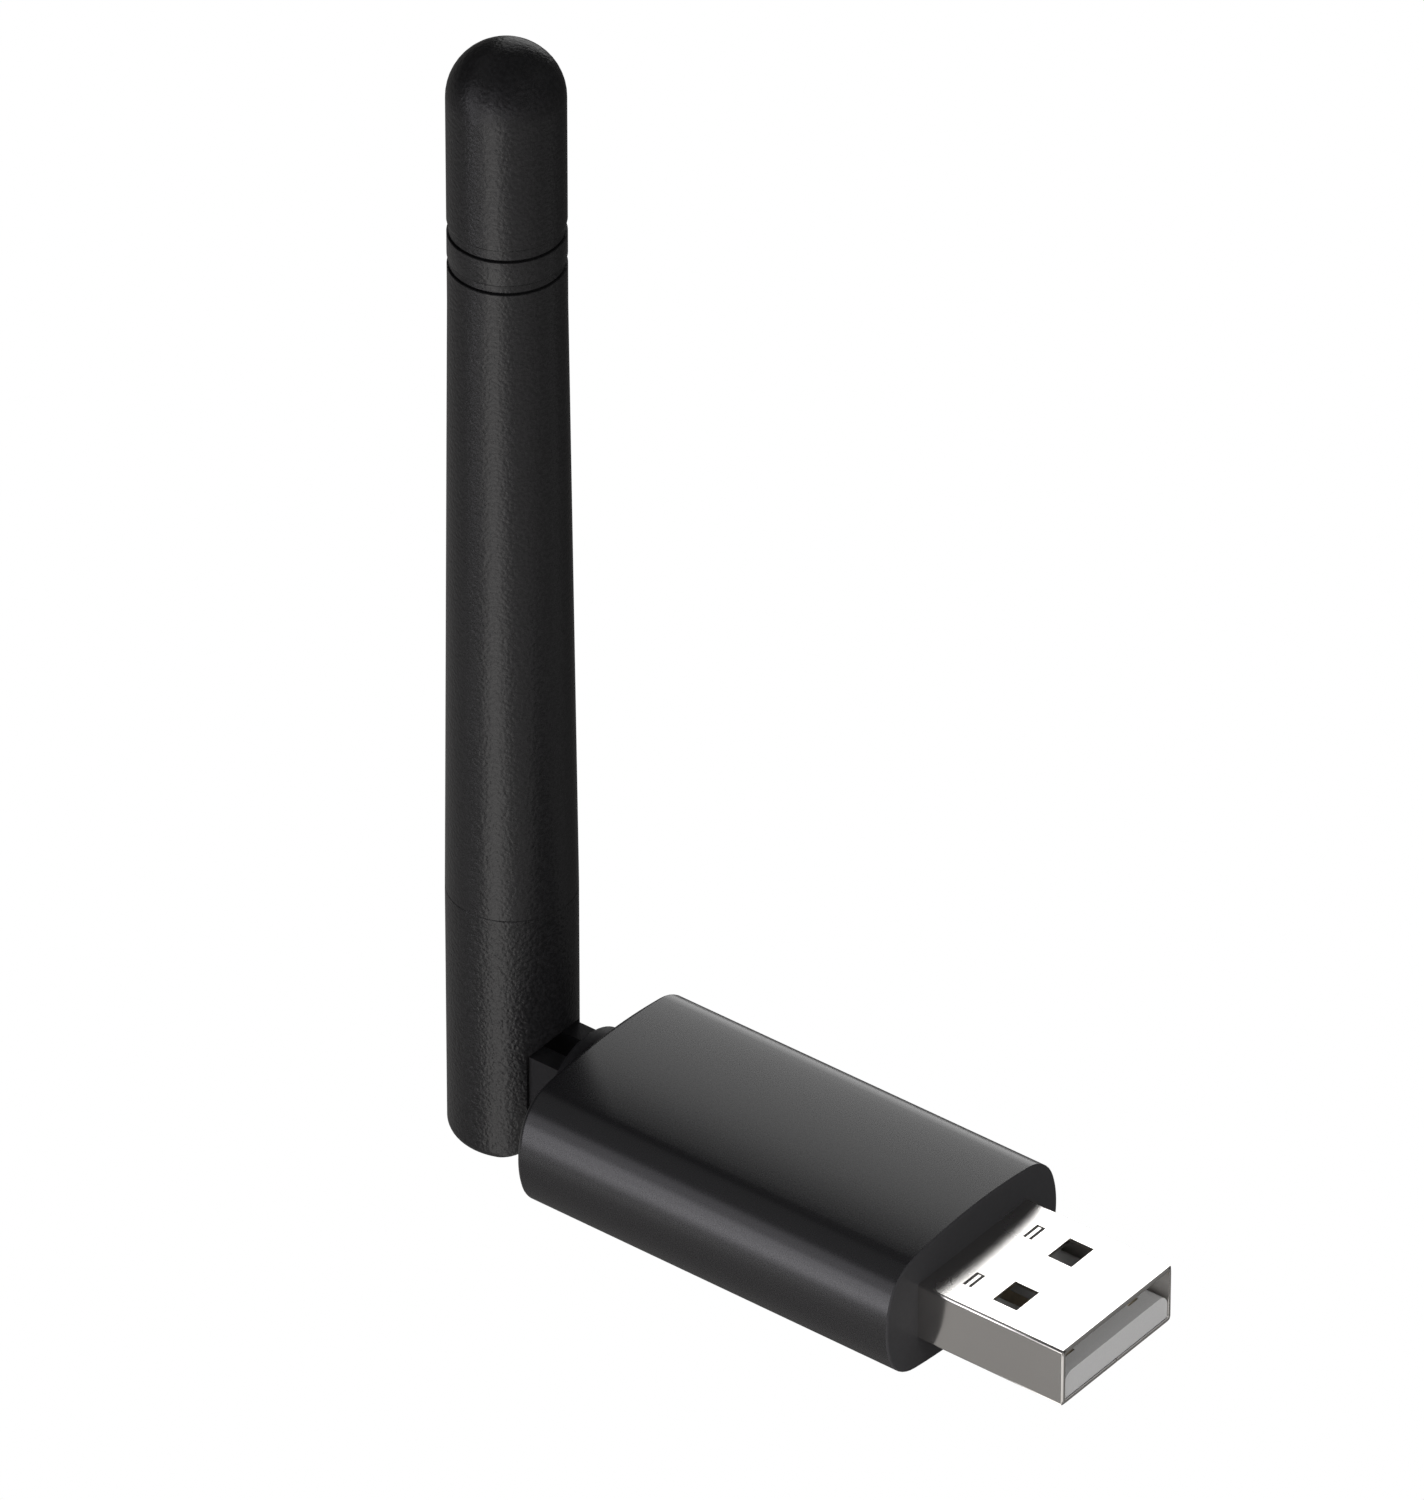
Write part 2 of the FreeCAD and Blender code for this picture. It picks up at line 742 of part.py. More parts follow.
def foot_relief():
    """Front quarter of the foot rounded about the pivot, so that it clears the collar."""
    beyond = base_radius + 1
    quarter = box(0, foot_reach + 1, -beyond, beyond, -foot_reach - 1, 0)
    drum = Part.makeCylinder(foot_reach, 2 * beyond, V(0, -beyond, 0), V(0, 1, 0))
    return quarter.cut(drum)


def ear_slot():
    """Slot for the ears, open in front and below, with a round inner corner."""
    beyond = foot_reach + 1
    low = V(-slot_back, -slot_half, -beyond)
    bend = V(-slot_back * math.sqrt(0.5), -slot_half, slot_back * math.sqrt(0.5))
    ledge = V(0, -slot_half, ledge_height)
    side = V(-slot_back, -slot_half, 0)
    top = V(0, -slot_half, slot_back)
    edges = [Part.makeLine(low, side), Part.Arc(side, bend, top).toShape()]
    corners = [top, ledge, V(beyond, -slot_half, ledge_height), V(beyond, -slot_half, -beyond), low]
    edges += [Part.makeLine(a, b) for a, b in zip(corners, corners[1:]) if a.distanceToPoint(b) > 1e-6]
    return Part.Face(Part.Wire(edges)).extrude(V(0, 2 * slot_half, 0))


# Antenna sheath: tapered tube, closed by a round tip
def antenna_sheath():
    crest = dome_centre + tip_radius
    bend = tip_radius * math.sqrt(0.5)
    edges = chain([(0, seam_height), (base_radius - seam_edge, seam_height),
                   (base_radius, seam_height + seam_edge), (tip_radius, taper_end),
                   (tip_radius, dome_centre)])
    dome = Part.Arc(V(tip_radius, 0, dome_centre), V(bend, 0, dome_centre + bend), V(0, 0, crest))
    edges.append(dome.toShape())
    edges += chain([(0, crest), (0, seam_height)])
    sheath = turned(edges)
    socket = rod_z(base_radius - sheath_wall, seam_height - 1, spigot_top + fit_gap)
    bore = rod_z(bore_radius, seam_height - 1, bore_end)
    lower = dome_centre - lower_slit_below_dome
    upper = dome_centre - upper_slit_below_dome
    return sheath.cut([socket, bore, ring_slit(lower, lower + lower_step_height),
                       ring_slit(upper, upper + upper_step_height)])


def ring_slit(bottom, step_top):
    """Narrow slit round the sheath with a shallow step above it, which slopes out at its top."""
    beyond = tip_radius + 1
    floor = tip_radius - slit_depth
    step = tip_radius - step_depth
    slit_top = bottom + slit_height
    profile = [(beyond, bottom), (floor, bottom), (floor, slit_top), (step, slit_top),
               (step, step_top - step_depth), (tip_radius, step_top), (beyond, step_top), (beyond, bottom)]
    return turned(chain(profile))


# Antenna inner parts, on the antenna's axis
def coax_ferrule():
    ring = rod_z(coax_radius + ferrule_wall, spigot_top - ferrule_length, spigot_top)
    return ring.cut(rod_z(coax_radius + slide_gap, 0, spigot_top + 1))


def coax_line():
    return rod_z(coax_radius, ledge_height + stop_gap, tube_top)


def radiator_tube():
    """Brass cup over the coax, closed at its upper end."""
    tube = rod_z(tube_radius, tube_bottom, tube_top)
    tube = tube.cut(rod_z(tube_radius - tube_wall, tube_bottom - 1, tube_top - tube_wall))
    return tube.cut(rod_z(coax_radius + slide_gap, tube_bottom, tube_top + 1))


def radiator_whip():
    return rod_z(whip_radius, tube_top, whip_top)


def tube_spacer():
    """Ring that centres the lower end of the tube on the coax."""
    bottom = tube_bottom - spacer_thickness + tube_seat
    top = tube_bottom + tube_seat
    ring = rod_z(bore_radius - slide_gap, bottom, top)
    ring = ring.cut(rod_z(tube_radius + slide_gap, tube_bottom, top + 1))
    return ring.cut(rod_z(coax_radius + slide_gap, bottom - 1, top + 1))


def whip_spacer():
    """Ring that centres the upper end of the whip."""
    top = whip_top - whip_spacer_drop
    ring = rod_z(bore_radius - slide_gap, top - spacer_thickness, top)
    return ring.cut(rod_z(whip_radius + slide_gap, top - spacer_thickness - 1, top + 1))


def main():
    save("plug_shell", plug_shell())
    save("plug_insulator", plug_insulator())
    for number, (y, setback) in enumerate(contact_places(), 1):
        save("plug_contact_" + str(number), plug_contact(y, setback))
    body_parts = (housing_sleeve, front_cap, circuit_board, shield_can, radio_chip, bridge_chip, crystal,
                  voltage_regulator, ceramic_capacitors, chip_resistors, coax_socket, coax_plug, coax_lead,
                  friction_ring, swivel_collar, retaining_clip)
    for make in body_parts:
        save(make.__name__, make())
    antenna_parts = (antenna_base, antenna_sheath, coax_ferrule, coax_line, radiator_tube, radiator_whip,
                     tube_spacer, whip_spacer)
    for make in antenna_parts:
        shape = make()
        shape.translate(V(pivot_x, 0, 0))
        save(make.__name__, shape)


main()
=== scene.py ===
# %% [markdown]
# # A USB radio stick with a hinged antenna
# The stick is a small black moulded box with a bright folded plug in front and a stub antenna
# behind. The construction comes in ready-made, so this lesson is about finish: a body whose
# edges are truly round, two grades of sparked grain on the antenna, folded bright sheet, and the
# studio light that makes black plastic readable. Every place is given in metres.

# %% Load the frame
import math
import bmesh
import bpy
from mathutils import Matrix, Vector


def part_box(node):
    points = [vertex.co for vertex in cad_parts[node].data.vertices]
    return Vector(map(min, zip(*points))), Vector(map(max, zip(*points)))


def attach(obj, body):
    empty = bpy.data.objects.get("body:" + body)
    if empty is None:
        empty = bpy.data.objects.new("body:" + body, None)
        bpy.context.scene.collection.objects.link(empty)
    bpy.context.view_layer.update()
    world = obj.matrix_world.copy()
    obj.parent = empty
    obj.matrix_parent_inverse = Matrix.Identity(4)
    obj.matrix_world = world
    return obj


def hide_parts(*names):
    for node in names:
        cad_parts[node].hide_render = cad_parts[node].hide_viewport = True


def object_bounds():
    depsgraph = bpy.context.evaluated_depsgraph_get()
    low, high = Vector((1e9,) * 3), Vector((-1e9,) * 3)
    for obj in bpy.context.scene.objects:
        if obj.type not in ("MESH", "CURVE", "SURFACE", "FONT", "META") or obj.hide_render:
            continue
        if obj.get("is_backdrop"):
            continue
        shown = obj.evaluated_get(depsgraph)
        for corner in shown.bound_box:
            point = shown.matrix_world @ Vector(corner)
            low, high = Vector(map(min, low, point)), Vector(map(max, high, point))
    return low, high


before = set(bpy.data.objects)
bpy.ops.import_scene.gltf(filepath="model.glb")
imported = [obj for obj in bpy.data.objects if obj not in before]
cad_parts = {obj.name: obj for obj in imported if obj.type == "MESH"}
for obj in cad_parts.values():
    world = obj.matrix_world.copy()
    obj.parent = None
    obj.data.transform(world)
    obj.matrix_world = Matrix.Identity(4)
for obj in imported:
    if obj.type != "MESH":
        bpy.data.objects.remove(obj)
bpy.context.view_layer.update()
mm = 0.001


def put(name, data):
    """A new object with this data, in the scene."""
    thing = bpy.data.objects.new(name, data)
    bpy.context.scene.collection.objects.link(thing)
    return thing


# %% [markdown]
# The camera stands where the photographer's did. A long lens far away keeps the antenna's sides
# almost parallel. Three directions say it all: back towards the camera, right and up.

# %% Camera
azimuth = math.radians(37.91)
elevation = math.radians(35.71)
lens_mm = 461.5
sensor_mm = 36.0
distance = 1.276
aim_right = 0.0173
aim_up = -0.0344
view_reach = 20
back = Vector((math.sin(azimuth) * math.cos(elevation), -math.cos(azimuth) * math.cos(elevation),
               math.sin(elevation)))
right = Vector((math.cos(azimuth), math.sin(azimuth), 0))
up = back.cross(right)
camera_data = bpy.data.cameras.new("photo_camera")
camera_data.lens = lens_mm
camera_data.sensor_width = sensor_mm
camera_data.clip_end = view_reach
camera = put("photo_camera", camera_data)
camera.location = distance * back - aim_right * right - aim_up * up
camera.rotation_mode = "QUATERNION"
camera.rotation_quaternion = back.to_track_quat("Z", "Y")
bpy.context.scene.camera = camera
print("camera at", tuple(round(c, 4) for c in camera.location))

# %% [markdown]
# Helpers for node trees come first, because every finish below uses them. A node is added with
# its input values in one call, so that a material reads like a recipe.

# %% Node helpers
def add(tree, kind, values=None, **settings):
    """Add a node, set its properties and its input values, and return it."""
    node = tree.nodes.new(kind)
    for name, value in settings.items():
        setattr(node, name, value)
    for name, value in (values or {}).items():
        node.inputs[name].default_value = value
    return node


def new_group(name, kind, sockets):
    """Make a node group with (name, direction, socket type, default) sockets."""
    tree = bpy.data.node_groups.new(name, kind)
    for title, direction, socket_type, default in sockets:
        item = tree.interface.new_socket(title, in_out=direction, socket_type=socket_type)
        if default is not None:
            item.default_value = default
    return tree, tree.nodes.new("NodeGroupInput"), tree.nodes.new("NodeGroupOutput")


def pick(sockets, key):
    """The socket with this number, or with this name; some nodes hide others of the same name."""
    if isinstance(key, int):
        return sockets[key]
    return next(one for one in sockets if one.name == key and one.enabled)


def join(tree, wires):
    """Link nodes; each wire is (from node, output, to node, input)."""
    for source, output, target, given in wires:
        tree.links.new(pick(source.outputs, output), pick(target.inputs, given))


# %% [markdown]
# The antenna's plastic carries the pattern of a spark-eroded mould: shallow pits a few tenths of
# a millimetre wide. A painted or scanned texture could show it, but a procedural one keeps its
# real size on every piece. Two noises of different kind make it, and one group serves the coarse
# grain on the base, the fine grain on the sheath and the almost smooth satin of the body. The
# pits are painted darker than the lands, a painted shade in the hollows from the same pattern.

# %% Mould grain group
def make_mould_grain():
    """Pits of a given width and depth, with painted shade in them and their own roughness."""
    tree, given, result = new_group("mould_grain", "ShaderNodeTree", [
        ("Land Colour", "INPUT", "NodeSocketColor", (0.02, 0.02, 0.02, 1)),
        ("Painted Pit Shade", "INPUT", "NodeSocketColor", (0.01, 0.01, 0.01, 1)),
        ("Grain Size", "INPUT", "NodeSocketFloat", 0.0003),
        ("Depth", "INPUT", "NodeSocketFloat", 0.00003),
        ("Roughness Low", "INPUT", "NodeSocketFloat", 0.4),
        ("Roughness High", "INPUT", "NodeSocketFloat", 0.5),
        ("Colour", "OUTPUT", "NodeSocketColor", None),
        ("Roughness", "OUTPUT", "NodeSocketFloat", None),
        ("Normal", "OUTPUT", "NodeSocketVector", None)])
    place = add(tree, "ShaderNodeTexCoord")
    scale = add(tree, "ShaderNodeMath", {0: 1.0}, operation="DIVIDE")
    clouds = add(tree, "ShaderNodeTexNoise", {"Detail": 2.0, "Roughness": 0.45})
    cells = add(tree, "ShaderNodeTexVoronoi", feature="SMOOTH_F1")
    height = add(tree, "ShaderNodeMath", {1: 0.6}, operation="MULTIPLY_ADD")
    bump = add(tree, "ShaderNodeBump")
    span = add(tree, "ShaderNodeMapRange", {"From Min": 0.35, "From Max": 0.65})
    # Painted shade: the pits get a darker colour than the lands, as if shade fell into them.
    pit_shade_mask = add(tree, "ShaderNodeMapRange", {"From Min": 0.6, "From Max": 0.95})
    tone = add(tree, "ShaderNodeMix", data_type="RGBA")
    join(tree, (
        (given, "Grain Size", scale, 1), (place, "Object", clouds, "Vector"),
        (scale, 0, clouds, "Scale"), (place, "Object", cells, "Vector"),
        (scale, 0, cells, "Scale"), (cells, "Distance", height, 0), (clouds, "Fac", height, 2),
        (height, 0, bump, "Height"), (given, "Depth", bump, "Distance"),
        (clouds, "Fac", span, "Value"), (given, "Roughness Low", span, "To Min"),
        (given, "Roughness High", span, "To Max"), (height, 0, pit_shade_mask, "Value"),
        (pit_shade_mask, "Result", tone, "Factor"), (given, "Painted Pit Shade", tone, "A"),
        (given, "Land Colour", tone, "B"), (tone, "Result", result, "Colour"),
        (span, "Result", result, "Roughness"), (bump, "Normal", result, "Normal")))
    return tree


mould_grain = make_mould_grain()
print("group", mould_grain.name, "with", len(mould_grain.nodes), "nodes")

# %% [markdown]
# Rolled sheet and drawn metal show fine lines along the rolling direction, and a thin film of
# handling haze that varies slowly. A noise stretched along the sheet gives the lines and a wide
# one the haze. A plug's broad faces rub in every socket, so they can be duller than its narrow
# sides: the object's own normal tells which face it is. The same group serves the plug's shell,
# the shield can, the clip and the contacts.

# %% Rolled sheet group
def make_rolled_sheet():
    """Fine lines along X and a slow haze, for bright metal."""
    tree, given, result = new_group("rolled_sheet", "ShaderNodeTree", [
        ("Bright Colour", "INPUT", "NodeSocketColor", (0.8, 0.79, 0.77, 1)),
        ("Hazy Colour", "INPUT", "NodeSocketColor", (0.7, 0.69, 0.67, 1)),
        ("Line Width", "INPUT", "NodeSocketFloat", 0.00005),
        ("Depth", "INPUT", "NodeSocketFloat", 0.000002),
        ("Haze Size", "INPUT", "NodeSocketFloat", 0.004),
        ("Broad Face Wear", "INPUT", "NodeSocketFloat", 0.0),
        ("Roughness Low", "INPUT", "NodeSocketFloat", 0.12),
        ("Roughness High", "INPUT", "NodeSocketFloat", 0.2),
        ("Colour", "OUTPUT", "NodeSocketColor", None),
        ("Roughness", "OUTPUT", "NodeSocketFloat", None),
        ("Normal", "OUTPUT", "NodeSocketVector", None)])
    place = add(tree, "ShaderNodeTexCoord")
    stretch = add(tree, "ShaderNodeMapping", {"Scale": (0.04, 1.0, 1.0)})
    line_scale = add(tree, "ShaderNodeMath", {0: 1.0}, operation="DIVIDE")
    haze_scale = add(tree, "ShaderNodeMath", {0: 1.0}, operation="DIVIDE")
    lines = add(tree, "ShaderNodeTexNoise", {"Detail": 2.0})
    haze = add(tree, "ShaderNodeTexNoise", {"Detail": 3.0})
    bump = add(tree, "ShaderNodeBump", {"Strength": 0.6})
    span = add(tree, "ShaderNodeMapRange", {"From Min": 0.3, "From Max": 0.7})
    tone = add(tree, "ShaderNodeMix", data_type="RGBA")
    facing = add(tree, "ShaderNodeSeparateXYZ")
    upright = add(tree, "ShaderNodeMath", operation="ABSOLUTE")
    broad = add(tree, "ShaderNodeMath", {1: 6.0}, operation="POWER")
    worn = add(tree, "ShaderNodeMath", operation="MULTIPLY_ADD")
    join(tree, (
        (place, "Normal", facing, 0), (facing, "Z", upright, 0), (upright, 0, broad, 0),
        (broad, 0, worn, 0), (given, "Broad Face Wear", worn, 1), (span, "Result", worn, 2),
        (place, "Object", stretch, "Vector"), (stretch, "Vector", lines, "Vector"),
        (place, "Object", haze, "Vector"), (given, "Line Width", line_scale, 1),
        (line_scale, 0, lines, "Scale"), (given, "Haze Size", haze_scale, 1),
        (haze_scale, 0, haze, "Scale"), (lines, "Fac", bump, "Height"),
        (given, "Depth", bump, "Distance"), (haze, "Fac", span, "Value"),
        (given, "Roughness Low", span, "To Min"), (given, "Roughness High", span, "To Max"),
        (haze, "Fac", tone, "Factor"), (given, "Bright Colour", tone, "A"),
        (given, "Hazy Colour", tone, "B"), (tone, "Result", result, "Colour"),
        (worn, 0, result, "Roughness"), (bump, "Normal", result, "Normal")))
    return tree


rolled_sheet = make_rolled_sheet()
print("group", rolled_sheet.name, "with", len(rolled_sheet.nodes), "nodes")

# %% [markdown]
# A finish joins one group to the shader. Metal or plastic, gloss and specular level are the same
# all over a piece, so they are set on the shader itself; tone, roughness and relief vary and come
# from the group. Each recipe line below gives sizes in millimetres.

# %% How a finish is made
def finish_with(name, group, values, metallic=0.0, specular=0.5):
    """A material whose colour, roughness and normal come from one of the groups."""
    material = bpy.data.materials.new(name)
    material.use_nodes = True
    tree = material.node_tree
    shader = tree.nodes["Principled BSDF"]
    shader.inputs["Metallic"].default_value = metallic
    shader.inputs["Specular IOR Level"].default_value = specular
    texture = add(tree, "ShaderNodeGroup", node_tree=group)
    for title, value in values.items():
        texture.inputs[title].default_value = value
    join(tree, (
        (texture, "Colour", shader, "Base Color"), (texture, "Roughness", shader, "Roughness"),
        (texture, "Normal", shader, "Normal")))
    return material


def shade(colour, factor=1.0):
    """The colour made darker by a factor, with its alpha."""
    return tuple(factor * part for part in colour) + (1,)


def moulded(name, colour, size, depth, low, high, shade_in_pits=0.7, specular=0.5):
    """Moulded plastic, rubber or resin with a grain of this size and depth."""
    # Painted shade: the pits take the colour made darker by the given factor.
    values = {"Land Colour": shade(colour), "Painted Pit Shade": shade(colour, shade_in_pits),
              "Grain Size": size * mm, "Depth": depth * mm,
              "Roughness Low": low, "Roughness High": high}
    return finish_with(name, mould_grain, values, specular=specular)


def rolled(name, colour, width, depth, low, high, hazy=0.88, wear=0.0):
    """Bright metal with rolling lines of this width and depth."""
    values = {"Bright Colour": shade(colour), "Hazy Colour": shade(colour, hazy),
              "Line Width": width * mm, "Depth": depth * mm,
              "Roughness Low": low, "Roughness High": high, "Broad Face Wear": wear}
    return finish_with(name, rolled_sheet, values, metallic=1.0)


# %% [markdown]
# Five black finishes look alike at first sight. The body is the smoothest and mirrors the
# studio. The cap is as smooth but almost without gloss, and its grey is lighter, so that the end
# face is an even dark grey: the lighter grey is painted sheen, in place of the studio mirrored
# in it. The antenna's sheath has the fine grain, its base the deeper one, and the swivel is a
# dull satin. The last two numbers say how dark the painted shade in the pits is and how much it
# mirrors.

# %% Black plastics
body_black = (0.013, 0.0127, 0.0138)
antenna_black = (0.012, 0.0118, 0.0125)
# Painted sheen: the cap's grey is lighter than the body's, standing in for the reflection it would
# show.
cap_grey_painted_sheen = (0.045, 0.0443, 0.0462)
swivel_black = (0.019, 0.0187, 0.0198)
body_satin = moulded("body_satin", body_black, 0.25, 0.0001, 0.262, 0.280, 0.95, 0.45)
base_grain = moulded("base_coarse_grain", antenna_black, 0.24, 0.052, 0.30, 0.36, 0.6, 0.22)
sheath_grain = moulded("sheath_fine_grain", antenna_black, 0.25, 0.034, 0.30, 0.35, 0.7, 0.22)
cap_painted_sheen = moulded("cap_painted_sheen", cap_grey_painted_sheen, 0.25, 0.0001, 0.28, 0.31, 0.95, 0.02)
swivel_satin = moulded("swivel_satin", swivel_black, 0.2, 0.004, 0.45, 0.50, 0.8, 0.06)
black_plastics = (body_satin, base_grain, sheath_grain, cap_painted_sheen, swivel_satin)
print("black plastics", [material.name for material in black_plastics])

# %% [markdown]
# The plug is nickel-plated sheet round a pale grey tongue with gilt contacts. Inside the housing
# hide a green board, tinned sheet, dark resin chips, fired ceramic and a brown coax. Each gets
# the tone and grain of the real stuff, although only the plug shows.

# %% Metals and inner materials
plug_nickel = rolled("plug_nickel", (0.82, 0.80, 0.775), 0.05, 0.002, 0.11, 0.14, wear=0.14)
contact_gilt = rolled("contact_gilt", (0.62, 0.54, 0.42), 0.04, 0.002, 0.3, 0.4)
tinned_sheet = rolled("tinned_sheet", (0.62, 0.62, 0.60), 0.08, 0.003, 0.25, 0.4)
tongue_grey = moulded("tongue_grey", (0.615, 0.615, 0.612), 0.1, 0.004, 0.42, 0.5, 0.95)
solder_resist = moulded("solder_resist", (0.012, 0.09, 0.04), 0.1, 0.003, 0.3, 0.4)
chip_resin = moulded("chip_resin", (0.02, 0.02, 0.02), 0.05, 0.004, 0.5, 0.6)
fired_ceramic = moulded("fired_ceramic", (0.38, 0.27, 0.16), 0.05, 0.003, 0.45, 0.6)
lead_jacket = moulded("lead_jacket", (0.09, 0.05, 0.03), 0.2, 0.004, 0.35, 0.45)
ring_rubber = moulded("ring_rubber", (0.015, 0.015, 0.015), 0.1, 0.01, 0.6, 0.75)
white_spacer = moulded("white_spacer", (0.75, 0.75, 0.72), 0.2, 0.004, 0.4, 0.5, 0.95)
print(len(bpy.data.materials), "materials")

# %% [markdown]
# Every new piece is dressed in the same way: it stands for its node, rides on the node's body,
# and wears its finish. Faces must look outwards, so a closed piece whose signed volume comes out
# negative is turned right first.

# %% How a piece is dressed
def outward(piece):
    """Turn the faces of a closed piece outwards and report its volume."""
    work = bmesh.new()
    work.from_mesh(piece.data)
    if work.calc_volume(signed=True) < 0:
        bmesh.ops.reverse_faces(work, faces=work.faces)
    volume = work.calc_volume(signed=True) / mm ** 3
    loose = sum(len(edge.link_faces) != 2 for edge in work.edges)
    work.to_mesh(piece.data)
    work.free()
    print(piece.name, "holds", round(volume, 1), "mm3, open edges", loose)
    return piece


def even_shading(piece, angle=30):
    """Smooth shading that keeps sharp edges sharp and flat faces flat."""
    piece.data.shade_smooth()
    piece.data.set_sharp_from_angle(angle=math.radians(angle))
    weights = piece.modifiers.new("even_shading", "WEIGHTED_NORMAL")
    weights.keep_sharp = True
    return piece


def paint(piece, material):
    """Give the whole piece one finish."""
    piece.data.materials.clear()
    piece.data.materials.append(material)


def dress(piece, nodes, body, material):
    """Let the piece stand for the nodes, ride on their body and wear its finish."""
    paint(piece, material)
    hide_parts(*nodes)
    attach(piece, body)
    return piece


# %% [markdown]
# The body is one moulded tube whose section is made of arcs: a nearly flat crown above and
# below, rounder sides, and a tight arc in each corner. A box with bevelled edges would miss that
# slow swelling, which is what bends the reflections. So the section is drawn from its arcs, and
# any number of copies, moved in by a little, give walls and roundings with equal point counts.

# %% Section of the body
sleeve_low, sleeve_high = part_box("housing_sleeve")
half_width = sleeve_high[1]
half_height = sleeve_high[2]
body_rear = sleeve_low[0]
crown_radius = 43.0 * mm
side_radius = 7.6 * mm
corner_radius = 3.25 * mm
crown_steps = 16
side_steps = 12
corner_steps = 8


def arc(centre, radius, start, end, steps):
    """Points of an arc; angles run from +Z towards +Y, and the end point is left out."""
    turns = [start + (end - start) * step / steps for step in range(steps)]
    return [(centre[0] + radius * math.sin(turn), centre[1] + radius * math.cos(turn))
            for turn in turns]


def corner_place():
    """Centre of the corner arc, and the angles where it meets crown and side."""
    crown_depth = half_height - crown_radius
    side_offset = half_width - side_radius
    to_crown = crown_radius - corner_radius
    to_side = side_radius - corner_radius
    apart = math.hypot(side_offset, crown_depth)
    along = (to_crown ** 2 - to_side ** 2 + apart ** 2) / (2 * apart)
    across = math.sqrt(to_crown ** 2 - along ** 2)
    y = side_offset / apart * along - crown_depth / apart * across
    z = crown_depth - crown_depth / apart * along - side_offset / apart * across
    return (y, z), math.atan2(y, z - crown_depth), math.atan2(y - side_offset, z)


(corner_y, corner_z), crown_turn, side_turn = corner_place()
print("crown ends at", round(math.degrees(crown_turn), 1), "degrees and the side at",
      round(math.degrees(side_turn), 1))


def body_section(inset):
    """The body's outline moved in by inset, as (y, z) points."""
    crown = crown_radius - inset
    side = side_radius - inset
    corner = corner_radius - inset
    crown_depth = half_height - crown_radius
    side_offset = half_width - side_radius
    points = arc((0, crown_depth), crown, -crown_turn, crown_turn, crown_steps)
    points += arc((corner_y, corner_z), corner, crown_turn, side_turn, corner_steps)
    points += arc((side_offset, 0), side, side_turn, math.pi - side_turn, side_steps)
    points += arc((corner_y, -corner_z), corner, math.pi - side_turn, math.pi - crown_turn,
                  corner_steps)
    return points + [(-y, -z) for y, z in points]


# %% [markdown]
# Rings of points that follow one another make a skin. The first ring joins the last, so a
# tube with a wall thickness closes on itself and has an inside, like the moulding.

# %% Skin over rings
def ring(section, x):
    """The section's points at this place along the stick."""
    return [(x, y, z) for y, z in section]


def skin(name, rings):
    """A closed piece over rings with equal point counts; the last joins the first."""
    count = len(rings[0])
    corners = [point for one in rings for point in one]
    faces = []
    for level in range(len(rings)):
        above = (level + 1) % len(rings)
        for step in range(count):
            after = (step + 1) % count
            faces.append((level * count + step, level * count + after,
                          above * count + after, above * count + step))
    mesh = bpy.data.meshes.new(name)
    mesh.from_pydata(corners, [], faces)
    return even_shading(outward(put(name, mesh)))


def rounded_end(x, radius, steps, towards=1):
    """Rings of a rounding: from the end face at x to the full section, towards +X or -X."""
    turns = [math.pi / 2 * step / steps for step in range(steps + 1)]
    return [ring(body_section(radius * (1 - math.sin(turn))),
                 x + towards * radius * (1 - math.cos(turn))) for turn in turns]


def circle_section(radius):
    """A circle with as many points as the body's section, each on the same ray from the centre."""
    rays = [math.atan2(y, z) for y, z in body_section(0)]
    return [(radius * math.sin(ray), radius * math.cos(ray)) for ray in rays]


# %% [markdown]
# The housing is the sleeve with its rear wall and swivel bearing. Its rear edge is rounded by
# almost half a millimetre. In front it stops just short of the end face, because there the cap's
# thin rim makes the edge, and so the end face shows no parting line, as on the real one.

# %% Housing
body_wall = 1.3 * mm
rear_wall = 1.6 * mm
rear_rounding = 0.45 * mm
bearing_radius = 3.4 * mm
bearing_length = 1.0 * mm
stub_hole = 2.45 * mm
cap_thickness = 1.5 * mm
mouth_inset = 0.9 * mm
rim = 0.16 * mm
parting = 0.008 * mm
wall_end = body_rear + rear_wall
rear_steps = 6
rim_steps = 4

housing_rings = [ring(circle_section(stub_hole), wall_end + bearing_length),
                 ring(circle_section(stub_hole), body_rear)]
housing_rings += rounded_end(body_rear, rear_rounding, rear_steps)
housing_rings += [ring(body_section(0), -rim - parting),
                  ring(body_section(mouth_inset), -rim - parting),
                  ring(body_section(mouth_inset), -cap_thickness),
                  ring(body_section(body_wall), -cap_thickness),
                  ring(body_section(body_wall), wall_end),
                  ring(circle_section(bearing_radius), wall_end),
                  ring(circle_section(bearing_radius), wall_end + bearing_length)]
housing = skin("housing_moulding", housing_rings)
dress(housing, ["housing_sleeve"], "stick", body_satin)

# %% [markdown]
# The cap closes the front. Its rim lies over the sleeve's edge, and a close slot lets the plug
# out. The slot's section is the plug's rounded rectangle, drawn with the same point counts, and
# its front lip presses on the sheet, so that no gap shows.

# %% End cap
plug_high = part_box("plug_shell")[1]
half_plug = plug_high[1]
half_plug_height = plug_high[2]
shell_corner = 0.45 * mm
slide_gap = 0.03 * mm


def straight(start, end, steps):
    """Points of a straight run; the end point is left out."""
    return [(start[0] + (end[0] - start[0]) * step / steps,
             start[1] + (end[1] - start[1]) * step / steps) for step in range(steps)]


